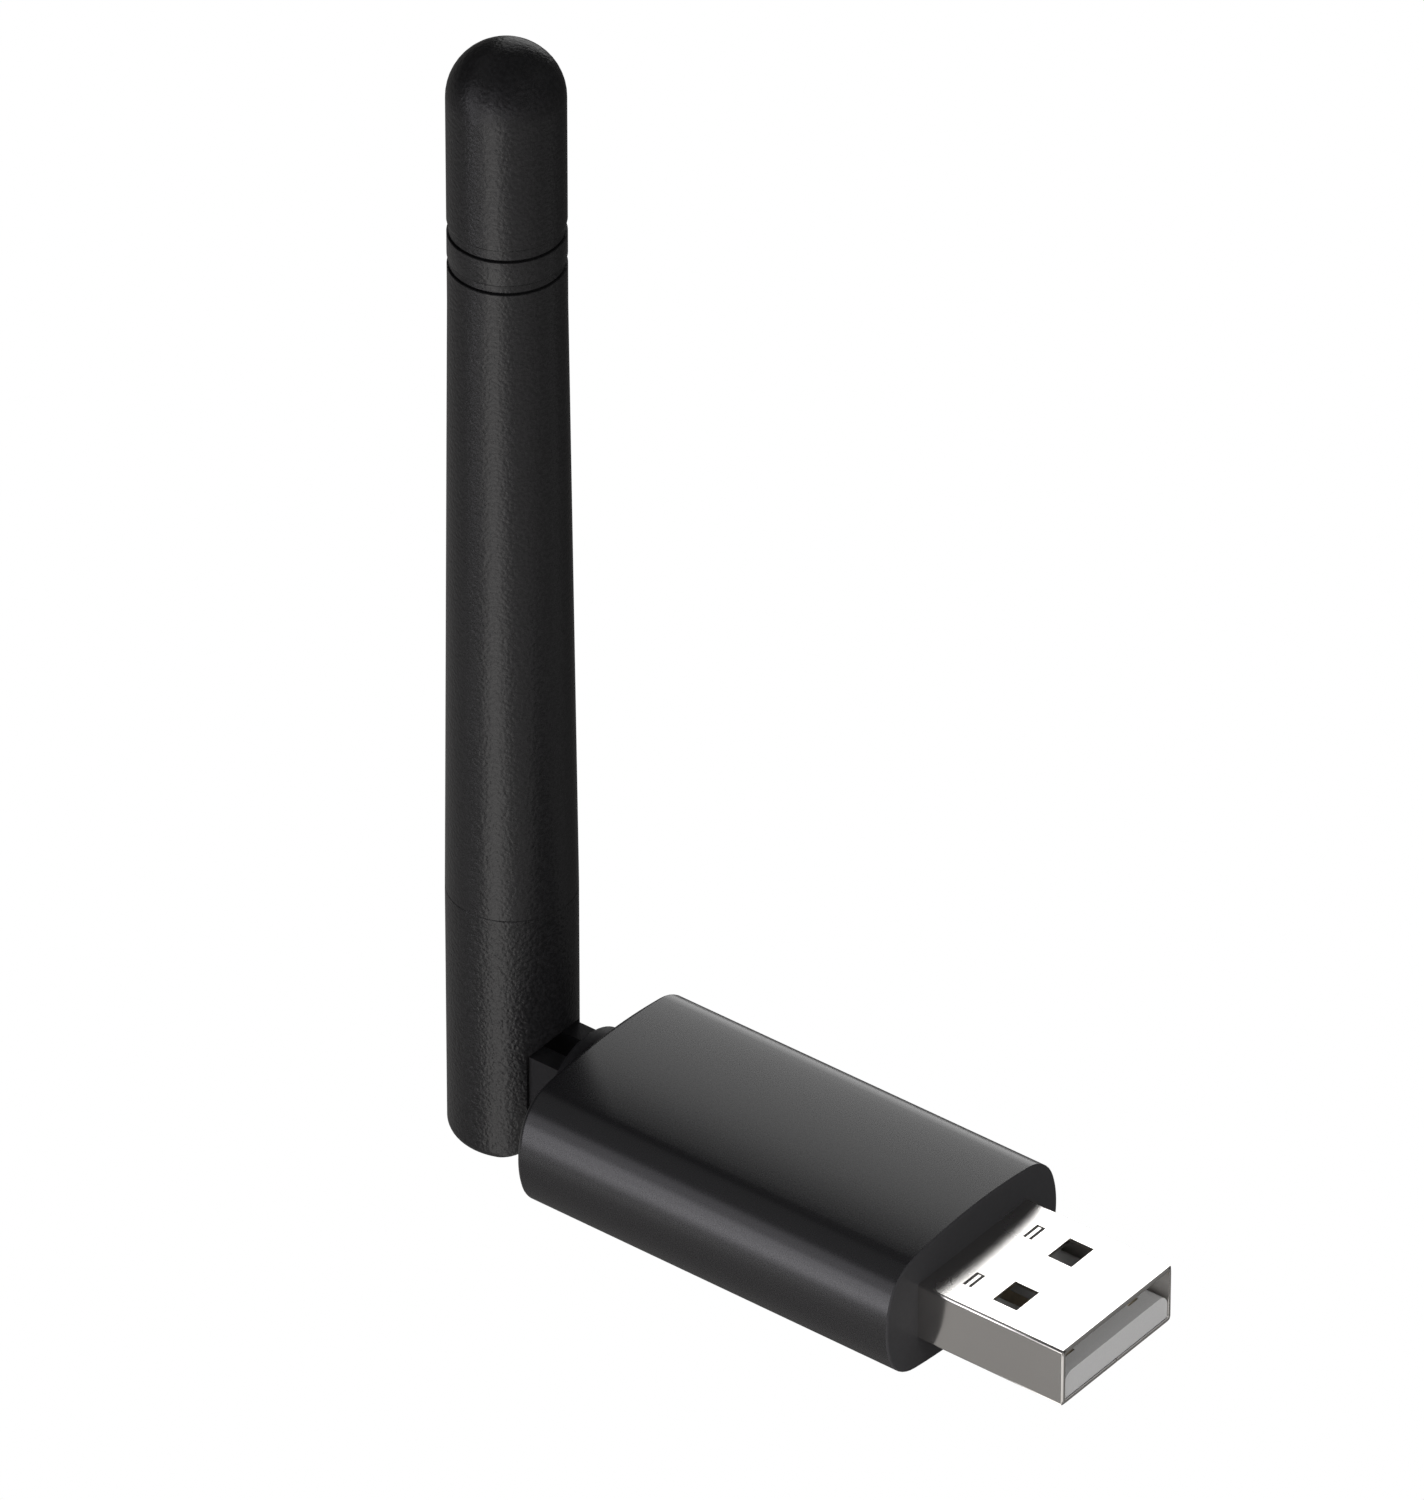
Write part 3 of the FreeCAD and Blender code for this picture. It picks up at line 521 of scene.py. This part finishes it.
def plug_section(grow):
    """The plug's outline moved out by grow, as (y, z) points."""
    y = half_plug - shell_corner
    z = half_plug_height - shell_corner
    radius = shell_corner + grow
    points = straight((-y, z + radius), (y, z + radius), crown_steps)
    points += arc((y, z), radius, 0, math.pi / 2, corner_steps)
    points += straight((y + radius, z), (y + radius, -z), side_steps)
    points += arc((y, -z), radius, math.pi / 2, math.pi, corner_steps)
    return points + [(-y, -z) for y, z in points]


lip_depth = 0.2 * mm
lip_press = -0.01 * mm
cap_rings = [ring(plug_section(slide_gap), -cap_thickness),
             ring(plug_section(slide_gap), -2 * lip_depth),
             ring(plug_section(lip_press), -lip_depth), ring(plug_section(lip_press), 0)]
cap_rings += rounded_end(0, rim, rim_steps, -1)
cap_rings += [ring(body_section(mouth_inset + slide_gap), -rim),
              ring(body_section(mouth_inset + slide_gap), -cap_thickness)]
end_cap = skin("end_cap", cap_rings)
dress(end_cap, ["front_cap"], "stick", cap_painted_sheen)

# %% [markdown]
# The antenna's sheath is a turned form, so a lathe makes it. Blender's Screw modifier could, but
# a Geometry Nodes lathe has named inputs and closes its poles by itself. The tree lays a grid
# out, one row for each point of the profile, asks the profile for its radius and height, and
# wraps the row round the axis. Rows that meet on the axis melt into one point.

# %% Lathe tree
def make_lathe():
    """Geometry Nodes: turn a profile of (radius, height) points about an upright axis."""
    tree, given, result = new_group("lathe", "GeometryNodeTree", [
        ("Profile", "INPUT", "NodeSocketGeometry", None),
        ("Segments", "INPUT", "NodeSocketInt", 96),
        ("Axis Place", "INPUT", "NodeSocketVector", (0, 0, 0)),
        ("Melt Distance", "INPUT", "NodeSocketFloat", 0.000001),
        ("Finish", "INPUT", "NodeSocketMaterial", None),
        ("Turned", "OUTPUT", "NodeSocketGeometry", None)])
    size = add(tree, "GeometryNodeAttributeDomainSize", component="MESH")
    row = add(tree, "ShaderNodeMath", {1: 1.0}, operation="ADD")
    grid = add(tree, "GeometryNodeMeshGrid", {"Size X": 1.0, "Size Y": 1.0})
    index = add(tree, "GeometryNodeInputIndex")
    shifted = add(tree, "ShaderNodeMath", {1: 0.5}, operation="ADD")
    ratio = add(tree, "ShaderNodeMath", operation="DIVIDE")
    station = add(tree, "ShaderNodeMath", operation="FLOOR")
    rest = add(tree, "ShaderNodeMath", operation="FRACT")
    column = add(tree, "ShaderNodeMath", operation="MULTIPLY")
    whole = add(tree, "ShaderNodeMath", operation="FLOOR")
    share = add(tree, "ShaderNodeMath", operation="DIVIDE")
    turn = add(tree, "ShaderNodeMath", {1: math.tau}, operation="MULTIPLY")
    spot = add(tree, "GeometryNodeInputPosition")
    sample = add(tree, "GeometryNodeSampleIndex", data_type="FLOAT_VECTOR", domain="POINT")
    wrap = add(tree, "ShaderNodeVectorRotate", rotation_type="Z_AXIS")
    offset = add(tree, "ShaderNodeVectorMath", operation="ADD")
    place = add(tree, "GeometryNodeSetPosition")
    melt = add(tree, "GeometryNodeMergeByDistance")
    real = add(tree, "GeometryNodeRealizeInstances")
    finish = add(tree, "GeometryNodeSetMaterial")
    join(tree, (
        (given, "Profile", size, "Geometry"), (given, "Segments", row, 0),
        (size, "Point Count", grid, "Vertices X"), (row, 0, grid, "Vertices Y"),
        (index, 0, shifted, 0), (shifted, 0, ratio, 0), (row, 0, ratio, 1), (ratio, 0, station, 0),
        (ratio, 0, rest, 0), (rest, 0, column, 0), (row, 0, column, 1), (column, 0, whole, 0),
        (whole, 0, share, 0), (given, "Segments", share, 1), (share, 0, turn, 0),
        (given, "Profile", sample, "Geometry"), (spot, 0, sample, "Value"),
        (station, 0, sample, "Index"), (sample, "Value", wrap, "Vector"), (turn, 0, wrap, "Angle"),
        (wrap, 0, offset, 0), (given, "Axis Place", offset, 1), (grid, "Mesh", place, "Geometry"),
        (offset, 0, place, "Position"), (place, 0, melt, "Geometry"),
        (given, "Melt Distance", melt, "Distance"), (melt, 0, real, "Geometry"),
        (real, 0, finish, "Geometry"), (given, "Finish", finish, "Material"),
        (finish, 0, result, "Turned")))
    return tree


lathe = make_lathe()
print("tree", lathe.name, "with", len(lathe.nodes), "nodes")

# %% [markdown]
# A tree is run on a seed mesh, such as a profile, and its result is kept as a plain mesh. The
# inputs are set by the sockets' identifiers, before Blender looks at the object.

# %% Run a tree
def run_tree(name, seed, tree, inputs):
    """The plain piece that the tree makes from the seed mesh."""
    holder = put(name + "_seed", seed)
    modifier = holder.modifiers.new("tree", "NODES")
    modifier.node_group = tree
    for item in tree.interface.items_tree:
        if item.in_out == "INPUT" and item.name in inputs:
            modifier[item.identifier] = inputs[item.name]
    ready = holder.evaluated_get(bpy.context.evaluated_depsgraph_get())
    mesh = bpy.data.meshes.new_from_object(ready)
    mesh.name = name
    bpy.data.objects.remove(holder)
    return put(name, mesh)


def edge_chain(name, points):
    """A seed mesh of edges through the points."""
    mesh = bpy.data.meshes.new(name)
    mesh.from_pydata(points, [(step, step + 1) for step in range(len(points) - 1)], [])
    return mesh


# %% [markdown]
# The sheath's profile starts on the axis at the crest, runs over the half-round dome, past the
# two stepped slits and down the long taper to the seam, and comes back up inside. The slits are
# the only ornament on the antenna, so their lips are rounded as a mould maker would do it.

# %% Antenna sheath
sheath_low, sheath_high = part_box("antenna_sheath")
antenna_x = (sheath_low[0] + sheath_high[0]) / 2
seam = sheath_low[2]
crest = sheath_high[2]
base_radius = sheath_high[1]
tip_radius = 3.98 * mm
seam_edge = 0.1 * mm / 8
dome_centre = crest - tip_radius
taper_end = dome_centre - 16.1 * mm
slit_height = 0.16 * mm
slit_depth = 0.26 * mm
step_depth = 0.12 * mm
lip = 0.04 * mm
socket_radius = 3.2 * mm
socket_top = seam + 6.05 * mm
bore_radius = 2.65 * mm
bore_end = dome_centre - 2.0 * mm
dome_steps = 14
sheath_segments = 96
ring_slits = ((dome_centre - 10.43 * mm, 0.98 * mm), (dome_centre - 12.98 * mm, 0.78 * mm))

profile = [(tip_radius * math.sin(math.pi / 2 * step / dome_steps),
            dome_centre + tip_radius * math.cos(math.pi / 2 * step / dome_steps))
           for step in range(dome_steps + 1)]
for bottom, height in ring_slits:
    step_top = bottom + height
    profile += [(tip_radius, step_top + lip), (tip_radius - lip / 2, step_top - lip),
                (tip_radius - step_depth, step_top - step_depth - lip),
                (tip_radius - step_depth, bottom + slit_height),
                (tip_radius - slit_depth, bottom + slit_height), (tip_radius - slit_depth, bottom),
                (tip_radius - lip, bottom), (tip_radius, bottom - lip)]
profile += [(tip_radius, taper_end), (base_radius, seam + seam_edge),
            (base_radius - seam_edge, seam), (socket_radius, seam), (socket_radius, socket_top),
            (bore_radius, socket_top), (bore_radius, bore_end), (0, bore_end)]
sheath_profile = edge_chain("sheath_profile", [(r, 0, z) for r, z in profile])
sheath = run_tree("sheath_moulding", sheath_profile, lathe,
                  {"Segments": sheath_segments, "Axis Place": (antenna_x, 0, 0),
                   "Finish": sheath_grain})
even_shading(outward(sheath))
dress(sheath, ["antenna_sheath"], "antenna", sheath_grain)

# %% [markdown]
# The antenna's base, the swivel with its ears, the plug's shell and its tongue are cut and
# milled forms whose shape the construction already has. What they lack is the small radius that
# every real edge has, and without it black plastic shows no edges at all. So each is a copy of
# its node, with the loose triangles merged into whole faces, and a narrow bevel. The plug gets
# three corrections more: tighter long corners on its sheet, locking tabs trimmed so that their
# slits open, and a tongue that ends almost flush with the sheet.

# %% Softened copies
same_point = 0.0002 * mm
same_plane = math.radians(1.0)
near_enough = 0.03 * mm
sheet_corner = 0.18 * mm
tab_trim = 0.07 * mm
tongue_push = 0.28 * mm
base_edge = 0.12 * mm
swivel_edge = 0.1 * mm
sheet_edge = 0.02 * mm
tongue_edge = 0.06 * mm


def cad_copy(node, name):
    """A copy of a node's mesh with its loose triangles merged and its flat faces made whole."""
    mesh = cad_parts[node].data.copy()
    mesh.name = name
    work = bmesh.new()
    work.from_mesh(mesh)
    bmesh.ops.remove_doubles(work, verts=work.verts, dist=same_point)
    bmesh.ops.dissolve_limit(work, angle_limit=same_plane, verts=work.verts, edges=work.edges)
    work.to_mesh(mesh)
    work.free()
    return put(name, mesh)


def soften(piece, width, segments=3, angle=30, keep_above=math.inf):
    """Round the sharp edges a little, so that they catch the light, but none above that height."""
    work = bmesh.new()
    work.from_mesh(piece.data)
    weight = work.edges.layers.float.new("bevel_weight_edge")
    for edge in work.edges:
        sharp = edge.calc_face_angle(0) > math.radians(angle)
        edge[weight] = float(sharp and min(corner.co.z for corner in edge.verts) < keep_above)
    work.to_mesh(piece.data)
    work.free()
    bevel = piece.modifiers.new("rounded_edges", "BEVEL")
    bevel.width = width
    bevel.segments = segments
    bevel.limit_method = "WEIGHT"
    piece.data.shade_smooth()
    weights = piece.modifiers.new("even_shading", "WEIGHTED_NORMAL")
    weights.keep_sharp = True
    print(piece.name, len(piece.data.vertices), "vertices before its bevel")
    return piece


def tighten_corners(piece, section_corner, radius):
    """Redraw the long outer roundings of the plug's sheet with a smaller radius."""
    y = half_plug - section_corner
    z = half_plug_height - section_corner
    for corner in piece.data.vertices:
        away = Vector((0, abs(corner.co.y) - y, abs(corner.co.z) - z))
        on_arc = abs(away.length - section_corner) < near_enough / 2
        if on_arc and away.y > -near_enough and away.z > -near_enough:
            away = away * (radius / away.length)
            corner.co.y = math.copysign(half_plug - radius + away.y, corner.co.y)
            corner.co.z = math.copysign(half_plug_height - radius + away.z, corner.co.z)
    return piece


def trim_tabs(piece, amount):
    """Trim the two locking tabs, so that their slits open as wide as they look on a real plug."""
    tab_middle = plug_high[0] - 9.4 * mm
    tab_half = 0.19 * mm
    tab_reach = 0.8 * mm
    tab_pitch = 6.6 * mm
    for corner in piece.data.vertices:
        across = corner.co.x - tab_middle
        on_end = abs(abs(across) - tab_half) < near_enough / 2
        along = abs(abs(corner.co.y) - tab_pitch / 2)
        if on_end and along < tab_reach + near_enough and corner.co.z > 0:
            corner.co.x -= math.copysign(amount, across)
    return piece


def push_front(piece, front, amount):
    """Move the faces at the front further forward."""
    for corner in piece.data.vertices:
        if corner.co.x > front - near_enough:
            corner.co.x += amount
    return piece


antenna_base = soften(cad_copy("antenna_base", "base_moulding"), base_edge, keep_above=seam - mm)
dress(antenna_base, ["antenna_base"], "antenna", base_grain)
swivel = soften(cad_copy("swivel_collar", "swivel_moulding"), swivel_edge)
dress(swivel, ["swivel_collar"], "knuckle", swivel_satin)
plug_sheet = tighten_corners(cad_copy("plug_shell", "plug_sheet"), shell_corner, sheet_corner)
trim_tabs(plug_sheet, tab_trim)
soften(plug_sheet, sheet_edge, 2)
dress(plug_sheet, ["plug_shell"], "stick", plug_nickel)
tongue_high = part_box("plug_insulator")[1]
tongue = push_front(cad_copy("plug_insulator", "plug_tongue"), tongue_high[0], tongue_push)
soften(tongue, tongue_edge, 2)
dress(tongue, ["plug_insulator"], "stick", tongue_grey)

# %% [markdown]
# Four equal gilt blades lie in the tongue. The outer two reach further forward than the inner
# two, so that power meets first. One blade and a short Geometry Nodes tree make the row: the tree
# numbers the places, and the number decides side, distance and reach.

# %% Row of contacts
def make_contact_row():
    """Geometry Nodes: four copies of a blade at an outer and an inner pitch."""
    tree, given, result = new_group("contact_row", "GeometryNodeTree", [
        ("Blade", "INPUT", "NodeSocketGeometry", None),
        ("Count", "INPUT", "NodeSocketInt", 4),
        ("Outer Pitch", "INPUT", "NodeSocketFloat", 0.007),
        ("Inner Pitch", "INPUT", "NodeSocketFloat", 0.002),
        ("Inner Setback", "INPUT", "NodeSocketFloat", 0.001),
        ("Finish", "INPUT", "NodeSocketMaterial", None),
        ("Row", "OUTPUT", "NodeSocketGeometry", None)])
    places = add(tree, "GeometryNodeMeshLine", {"Offset": (0, 0, 0)})
    index = add(tree, "GeometryNodeInputIndex")
    last = add(tree, "ShaderNodeMath", {1: 1.0}, operation="SUBTRACT")
    middle = add(tree, "ShaderNodeMath", {1: 0.5}, operation="MULTIPLY")
    away = add(tree, "ShaderNodeMath", operation="SUBTRACT")
    side = add(tree, "ShaderNodeMath", operation="SIGN")
    far = add(tree, "ShaderNodeMath", operation="ABSOLUTE")
    inner = add(tree, "ShaderNodeMath", {1: 1.0}, operation="LESS_THAN")
    pitch = add(tree, "ShaderNodeMix", data_type="FLOAT")
    half = add(tree, "ShaderNodeMath", {1: 0.5}, operation="MULTIPLY")
    across = add(tree, "ShaderNodeMath", operation="MULTIPLY")
    reach = add(tree, "ShaderNodeMath", operation="MULTIPLY")
    rear = add(tree, "ShaderNodeMath", {1: -1.0}, operation="MULTIPLY")
    spot = add(tree, "ShaderNodeCombineXYZ")
    move = add(tree, "GeometryNodeSetPosition")
    copies = add(tree, "GeometryNodeInstanceOnPoints")
    real = add(tree, "GeometryNodeRealizeInstances")
    finish = add(tree, "GeometryNodeSetMaterial")
    join(tree, (
        (given, "Count", places, "Count"), (given, "Count", last, 0), (last, 0, middle, 0),
        (index, 0, away, 0), (middle, 0, away, 1), (away, 0, side, 0), (away, 0, far, 0),
        (far, 0, inner, 0), (inner, 0, pitch, "Factor"), (given, "Outer Pitch", pitch, "A"),
        (given, "Inner Pitch", pitch, "B"), (pitch, "Result", half, 0), (half, 0, across, 0),
        (side, 0, across, 1), (given, "Inner Setback", reach, 0), (inner, 0, reach, 1),
        (reach, 0, rear, 0), (rear, 0, spot, "X"), (across, 0, spot, "Y"),
        (places, "Mesh", move, "Geometry"), (spot, 0, move, "Position"),
        (move, 0, copies, "Points"), (given, "Blade", copies, "Instance"),
        (copies, 0, real, "Geometry"), (real, 0, finish, "Geometry"),
        (given, "Finish", finish, "Material"), (finish, 0, result, "Row")))
    return tree


contact_row = make_contact_row()
print("tree", contact_row.name, "with", len(contact_row.nodes), "nodes")

# %% [markdown]
# A real blade is stamped from a strip, and its nose is bevelled so that it slides under the
# socket's spring. The outline below is that side view, and the construction gives its size.

# %% Contacts
outer_low, outer_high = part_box("plug_contact_1")
inner_low, inner_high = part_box("plug_contact_2")
blade_width = outer_high[1] - outer_low[1]
nose = 0.2 * mm
blade_edge = 0.03 * mm
blade_side = [(outer_low[0], outer_low[2]), (outer_high[0], outer_low[2]),
              (outer_high[0], outer_high[2] - nose), (outer_high[0] - nose, outer_high[2]),
              (outer_low[0], outer_high[2])]


def blade_mesh(outline, width):
    """A blade with this side outline of (x, z) points, centred on y = 0."""
    count = len(outline)
    corners = [(x, y, z) for y in (-width / 2, width / 2) for x, z in outline]
    faces = [tuple(range(count)), tuple(range(2 * count - 1, count - 1, -1))]
    faces += [(step, (step + 1) % count, (step + 1) % count + count, step + count)
              for step in range(count)]
    mesh = bpy.data.meshes.new("blade")
    mesh.from_pydata(corners, [], faces)
    return mesh


contacts = run_tree("contact_blades", blade_mesh(blade_side, blade_width), contact_row,
                    {"Count": 4, "Outer Pitch": -outer_low[1] - outer_high[1],
                     "Inner Pitch": -inner_low[1] - inner_high[1],
                     "Inner Setback": outer_high[0] - inner_high[0], "Finish": contact_gilt})
soften(outward(contacts), blade_edge, 2)
dress(contacts, ["plug_contact_" + str(number) for number in (1, 2, 3, 4)], "stick",
      contact_gilt)

# %% [markdown]
# Everything inside keeps the construction's own mesh, which is right as it is, and only gets its
# finish. None of it shows, but a scene may open the body one day.

# %% Finishes of the pieces that stay as they are
inside = {
    solder_resist: ["circuit_board"],
    tinned_sheet: ["shield_can", "crystal", "retaining_clip"],
    chip_resin: ["radio_chip", "bridge_chip", "voltage_regulator", "chip_resistors"],
    fired_ceramic: ["ceramic_capacitors"],
    contact_gilt: ["coax_socket", "coax_plug", "coax_ferrule", "radiator_tube", "radiator_whip"],
    lead_jacket: ["coax_lead", "coax_line"],
    ring_rubber: ["friction_ring"],
    white_spacer: ["tube_spacer", "whip_spacer"]}
for material, nodes in inside.items():
    for node in nodes:
        paint(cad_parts[node], material)
print(sum(len(nodes) for nodes in inside.values()), "inner pieces have their finish")

# %% [markdown]
# The studio has a plain pale floor that glows by itself, like a light table. To the camera it is
# pure white, as in a product photograph. What the black plastic mirrors of it changes with the
# side: a bright wedge in front of the antenna gives the long streak on it, and the rest is dim.
# The first table below turns about the antenna's axis, from one side of the rear round to the
# other, in degrees. The second runs outwards from that axis, in metres, and fades the glow.

# %% Floor
floor_height = -0.12
floor_reach = 3.0
brightest = 5.0
floor_glow = ((-180, 0.36), (-140, 0.42), (-124, 0.29), (-115, 0.35), (-106, 0.28),
              (-101, 0.6), (-97, 2.5), (-84, 4.3), (-72, 4.3), (-62, 2.1), (-50, 0.77),
              (-28, 0.88), (-12, 0.72), (4, 0.44), (22, 0.26), (50, 0.12), (90, 0.06),
              (130, 0.22), (180, 0.34))
glow_reach = 0.4
glow_fade = ((0.0, 0.53), (0.10, 0.58), (0.14, 0.87), (0.175, 0.87), (0.195, 1.0),
             (0.245, 1.0), (0.262, 0.85), (0.28, 0.68), (0.4, 0.6))
corners = [(x * floor_reach, y * floor_reach, floor_height)
           for x, y in ((-1, -1), (1, -1), (1, 1), (-1, 1))]
floor_mesh = bpy.data.meshes.new("studio_floor")
floor_mesh.from_pydata(corners, [], [(0, 1, 2, 3)])
floor = put("studio_floor", floor_mesh)
floor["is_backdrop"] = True


def fill_ramp(node, values):
    """Give a colour ramp these (position, grey) stops."""
    stops = node.color_ramp.elements
    while len(stops) < len(values):
        stops.new(0.5)
    for stop, (position, value) in zip(stops, values):
        stop.position = position
        stop.color = (value, value, value, 1)


def make_floor_white():
    """White to the camera, and to everything else a glow that changes about the antenna's axis."""
    material = bpy.data.materials.new("floor_white")
    material.use_nodes = True
    tree = material.node_tree
    tree.nodes.remove(tree.nodes["Principled BSDF"])
    place = add(tree, "ShaderNodeTexCoord")
    from_axis = add(tree, "ShaderNodeVectorMath", {1: (antenna_x, 0, 0)}, operation="SUBTRACT")
    parts = add(tree, "ShaderNodeSeparateXYZ")
    angle = add(tree, "ShaderNodeMath", operation="ARCTAN2")
    turn = add(tree, "ShaderNodeMapRange", {"From Min": -math.pi, "From Max": math.pi})
    around = add(tree, "ShaderNodeValToRGB")
    flat = add(tree, "ShaderNodeCombineXYZ")
    away = add(tree, "ShaderNodeVectorMath", operation="LENGTH")
    reach = add(tree, "ShaderNodeMapRange", {"From Max": glow_reach})
    outwards = add(tree, "ShaderNodeValToRGB")
    both = add(tree, "ShaderNodeMath", operation="MULTIPLY")
    strength = add(tree, "ShaderNodeMath", {1: brightest}, operation="MULTIPLY")
    seen = add(tree, "ShaderNodeLightPath")
    white = add(tree, "ShaderNodeEmission", {"Color": (1, 1, 1, 1), "Strength": 1.0})
    glow = add(tree, "ShaderNodeEmission", {"Color": (1, 0.98, 0.96, 1)})
    choose = add(tree, "ShaderNodeMixShader")
    surface = tree.nodes["Material Output"]
    fill_ramp(around, [((degrees + 180) / 360, value / brightest)
                       for degrees, value in floor_glow])
    fill_ramp(outwards, [(metres / glow_reach, share) for metres, share in glow_fade])
    join(tree, (
        (place, "Object", from_axis, 0), (from_axis, "Vector", parts, 0), (parts, "Y", angle, 0),
        (parts, "X", angle, 1), (angle, 0, turn, "Value"), (turn, "Result", around, "Fac"),
        (parts, "X", flat, "X"), (parts, "Y", flat, "Y"), (flat, 0, away, 0),
        (away, "Value", reach, "Value"), (reach, "Result", outwards, "Fac"),
        (around, "Color", both, 0), (outwards, "Color", both, 1), (both, 0, strength, 0),
        (strength, 0, glow, "Strength"), (seen, "Is Camera Ray", choose, "Fac"),
        (glow, "Emission", choose, 1), (white, "Emission", choose, 2),
        (choose, "Shader", surface, "Surface")))
    return material


floor_mesh.materials.append(make_floor_white())
print("floor", floor_height, "m under the plug, with", len(floor_glow), "stops about the antenna")

# %% [markdown]
# Black plastic shows its lights, not its colour, so the lights are placed by what they are
# mirrored in. A tall bank behind is seen in the plug's top and the body's crown, and ends where
# the crown goes dark. A long low panel at the front left gives the soft band on the near side
# and the streak on the antenna. A softbox on the plug's side lights the tongue and the mouth.
# Each row of the table gives a name, azimuth and elevation as seen from the stick, width and
# height in degrees, distance in metres, radiance and colour. Round and flat pieces mirror the
# rear in different ways, so five of the lights are linked: the antenna has two of its own, dimmer
# than the rear lights that serve the rest, and the plug's sheet has a card for its top.

# %% Softboxes
def softbox(name, location, aim, width, height, radiance, colour=(1, 1, 1)):
    """An area light of this size that looks at the aim and shows a given radiance."""
    light = bpy.data.lights.new(name, "AREA")
    light.shape = "RECTANGLE"
    light.size = width
    light.size_y = height
    light.energy = radiance * math.pi * width * height
    light.color = colour
    lamp = put(name, light)
    lamp.location = location
    lamp.rotation_mode = "QUATERNION"
    lamp.rotation_quaternion = (Vector(location) - Vector(aim)).to_track_quat("Z", "Y")
    lamp.visible_camera = False
    return lamp


def from_stick(turn, rise, reach):
    """A place seen from the stick at this azimuth and elevation, in degrees."""
    turn = math.radians(turn)
    rise = math.radians(rise)
    level = math.cos(rise)
    return Vector((math.cos(turn) * level, math.sin(turn) * level, math.sin(rise))) * reach


def filling(degrees, reach):
    """The width that fills this angle at this distance."""
    return 2 * reach * math.tan(math.radians(degrees / 2))


middle = Vector((-0.018, 0, 0.02))
lavender = (0.96, 0.94, 1.0)
neutral = (1, 1, 1)
tent = (("rear_low", 118, 7.5, 26, 31, 0.8, 2.15, neutral),
        ("rear_high", 126, 35, 20, 22, 0.8, 1.5, neutral),
        ("plug_top_card", 128, 36, 25.4, 24, 0.8, 2.0, neutral),
        ("antenna_low", 118, 7.5, 26, 31, 0.8, 1.0, neutral),
        ("antenna_high", 126, 35, 20, 22, 0.8, 0.75, neutral),
        ("front_panel", -121, 1, 20, 16, 0.8, 3.2, lavender),
        ("front_panel_low", -116, -15, 16, 10, 0.31, 4.6, lavender),
        ("front_halo", -123, 22, 26, 22, 0.8, 1.4, lavender),
        ("front_middle", -104, 0, 14, 14, 0.8, 1.6, lavender),
        ("streak_middle", -84, 4, 22, 22, 0.8, 2.4, lavender),
        ("streak_high", -82, 30, 16, 28, 0.8, 1.1, lavender),
        ("front_far_right", -50, 4, 28, 28, 0.8, 0.8, lavender),
        ("left_high", -155, 55, 50, 30, 0.8, 0.22, neutral),
        ("right_high", 50, 34, 28, 28, 0.8, 0.15, neutral),
        ("streak_left_low", -126.5, -31, 18, 9, 0.265, 0.75, neutral),
        ("mouth_card", 46, -24, 14, 14, 0.14, 0.36, neutral))
for name, turn, rise, wide, high, reach, radiance, colour in tent:
    softbox(name, middle + from_stick(turn, rise, reach), middle,
            filling(wide, reach), filling(high, reach), radiance, colour)


def aim_at(group_name, pieces, state, lamps):
    """Let these lamps light only these pieces, or all but these."""
    group = bpy.data.collections.new(group_name)
    for piece in pieces:
        group.objects.link(piece)
    for member in group.collection_objects:
        member.light_linking.link_state = state
    for lamp in lamps:
        bpy.data.objects[lamp].light_linking.receiver_collection = group


aim_at("plug_alone", [plug_sheet], "INCLUDE", ["plug_top_card"])
aim_at("antenna_alone", [sheath, antenna_base], "INCLUDE", ["antenna_low", "antenna_high"])
aim_at("all_but_antenna", [sheath, antenna_base], "EXCLUDE", ["rear_low", "rear_high"])
unseen_reach = 0.8
unseen_size = 0.5
for name, turn, rise, radiance in (("plug_side_box", -8, 28, 3.8), ("top_fill", 60, 78, 0.8)):
    lamp = softbox(name, middle + from_stick(turn, rise, unseen_reach), middle,
                   unseen_size, unseen_size, radiance)
    lamp.visible_glossy = False

dim_grey = (0.05, 0.05, 0.05, 1)
world = bpy.data.worlds.new("studio")
bpy.context.scene.world = world
world.use_nodes = True
world.node_tree.nodes["Background"].inputs["Color"].default_value = dim_grey
bpy.context.scene.view_settings.view_transform = "Standard"

# %% [markdown]
# Last, the bounds of the finished model are measured.

low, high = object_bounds()
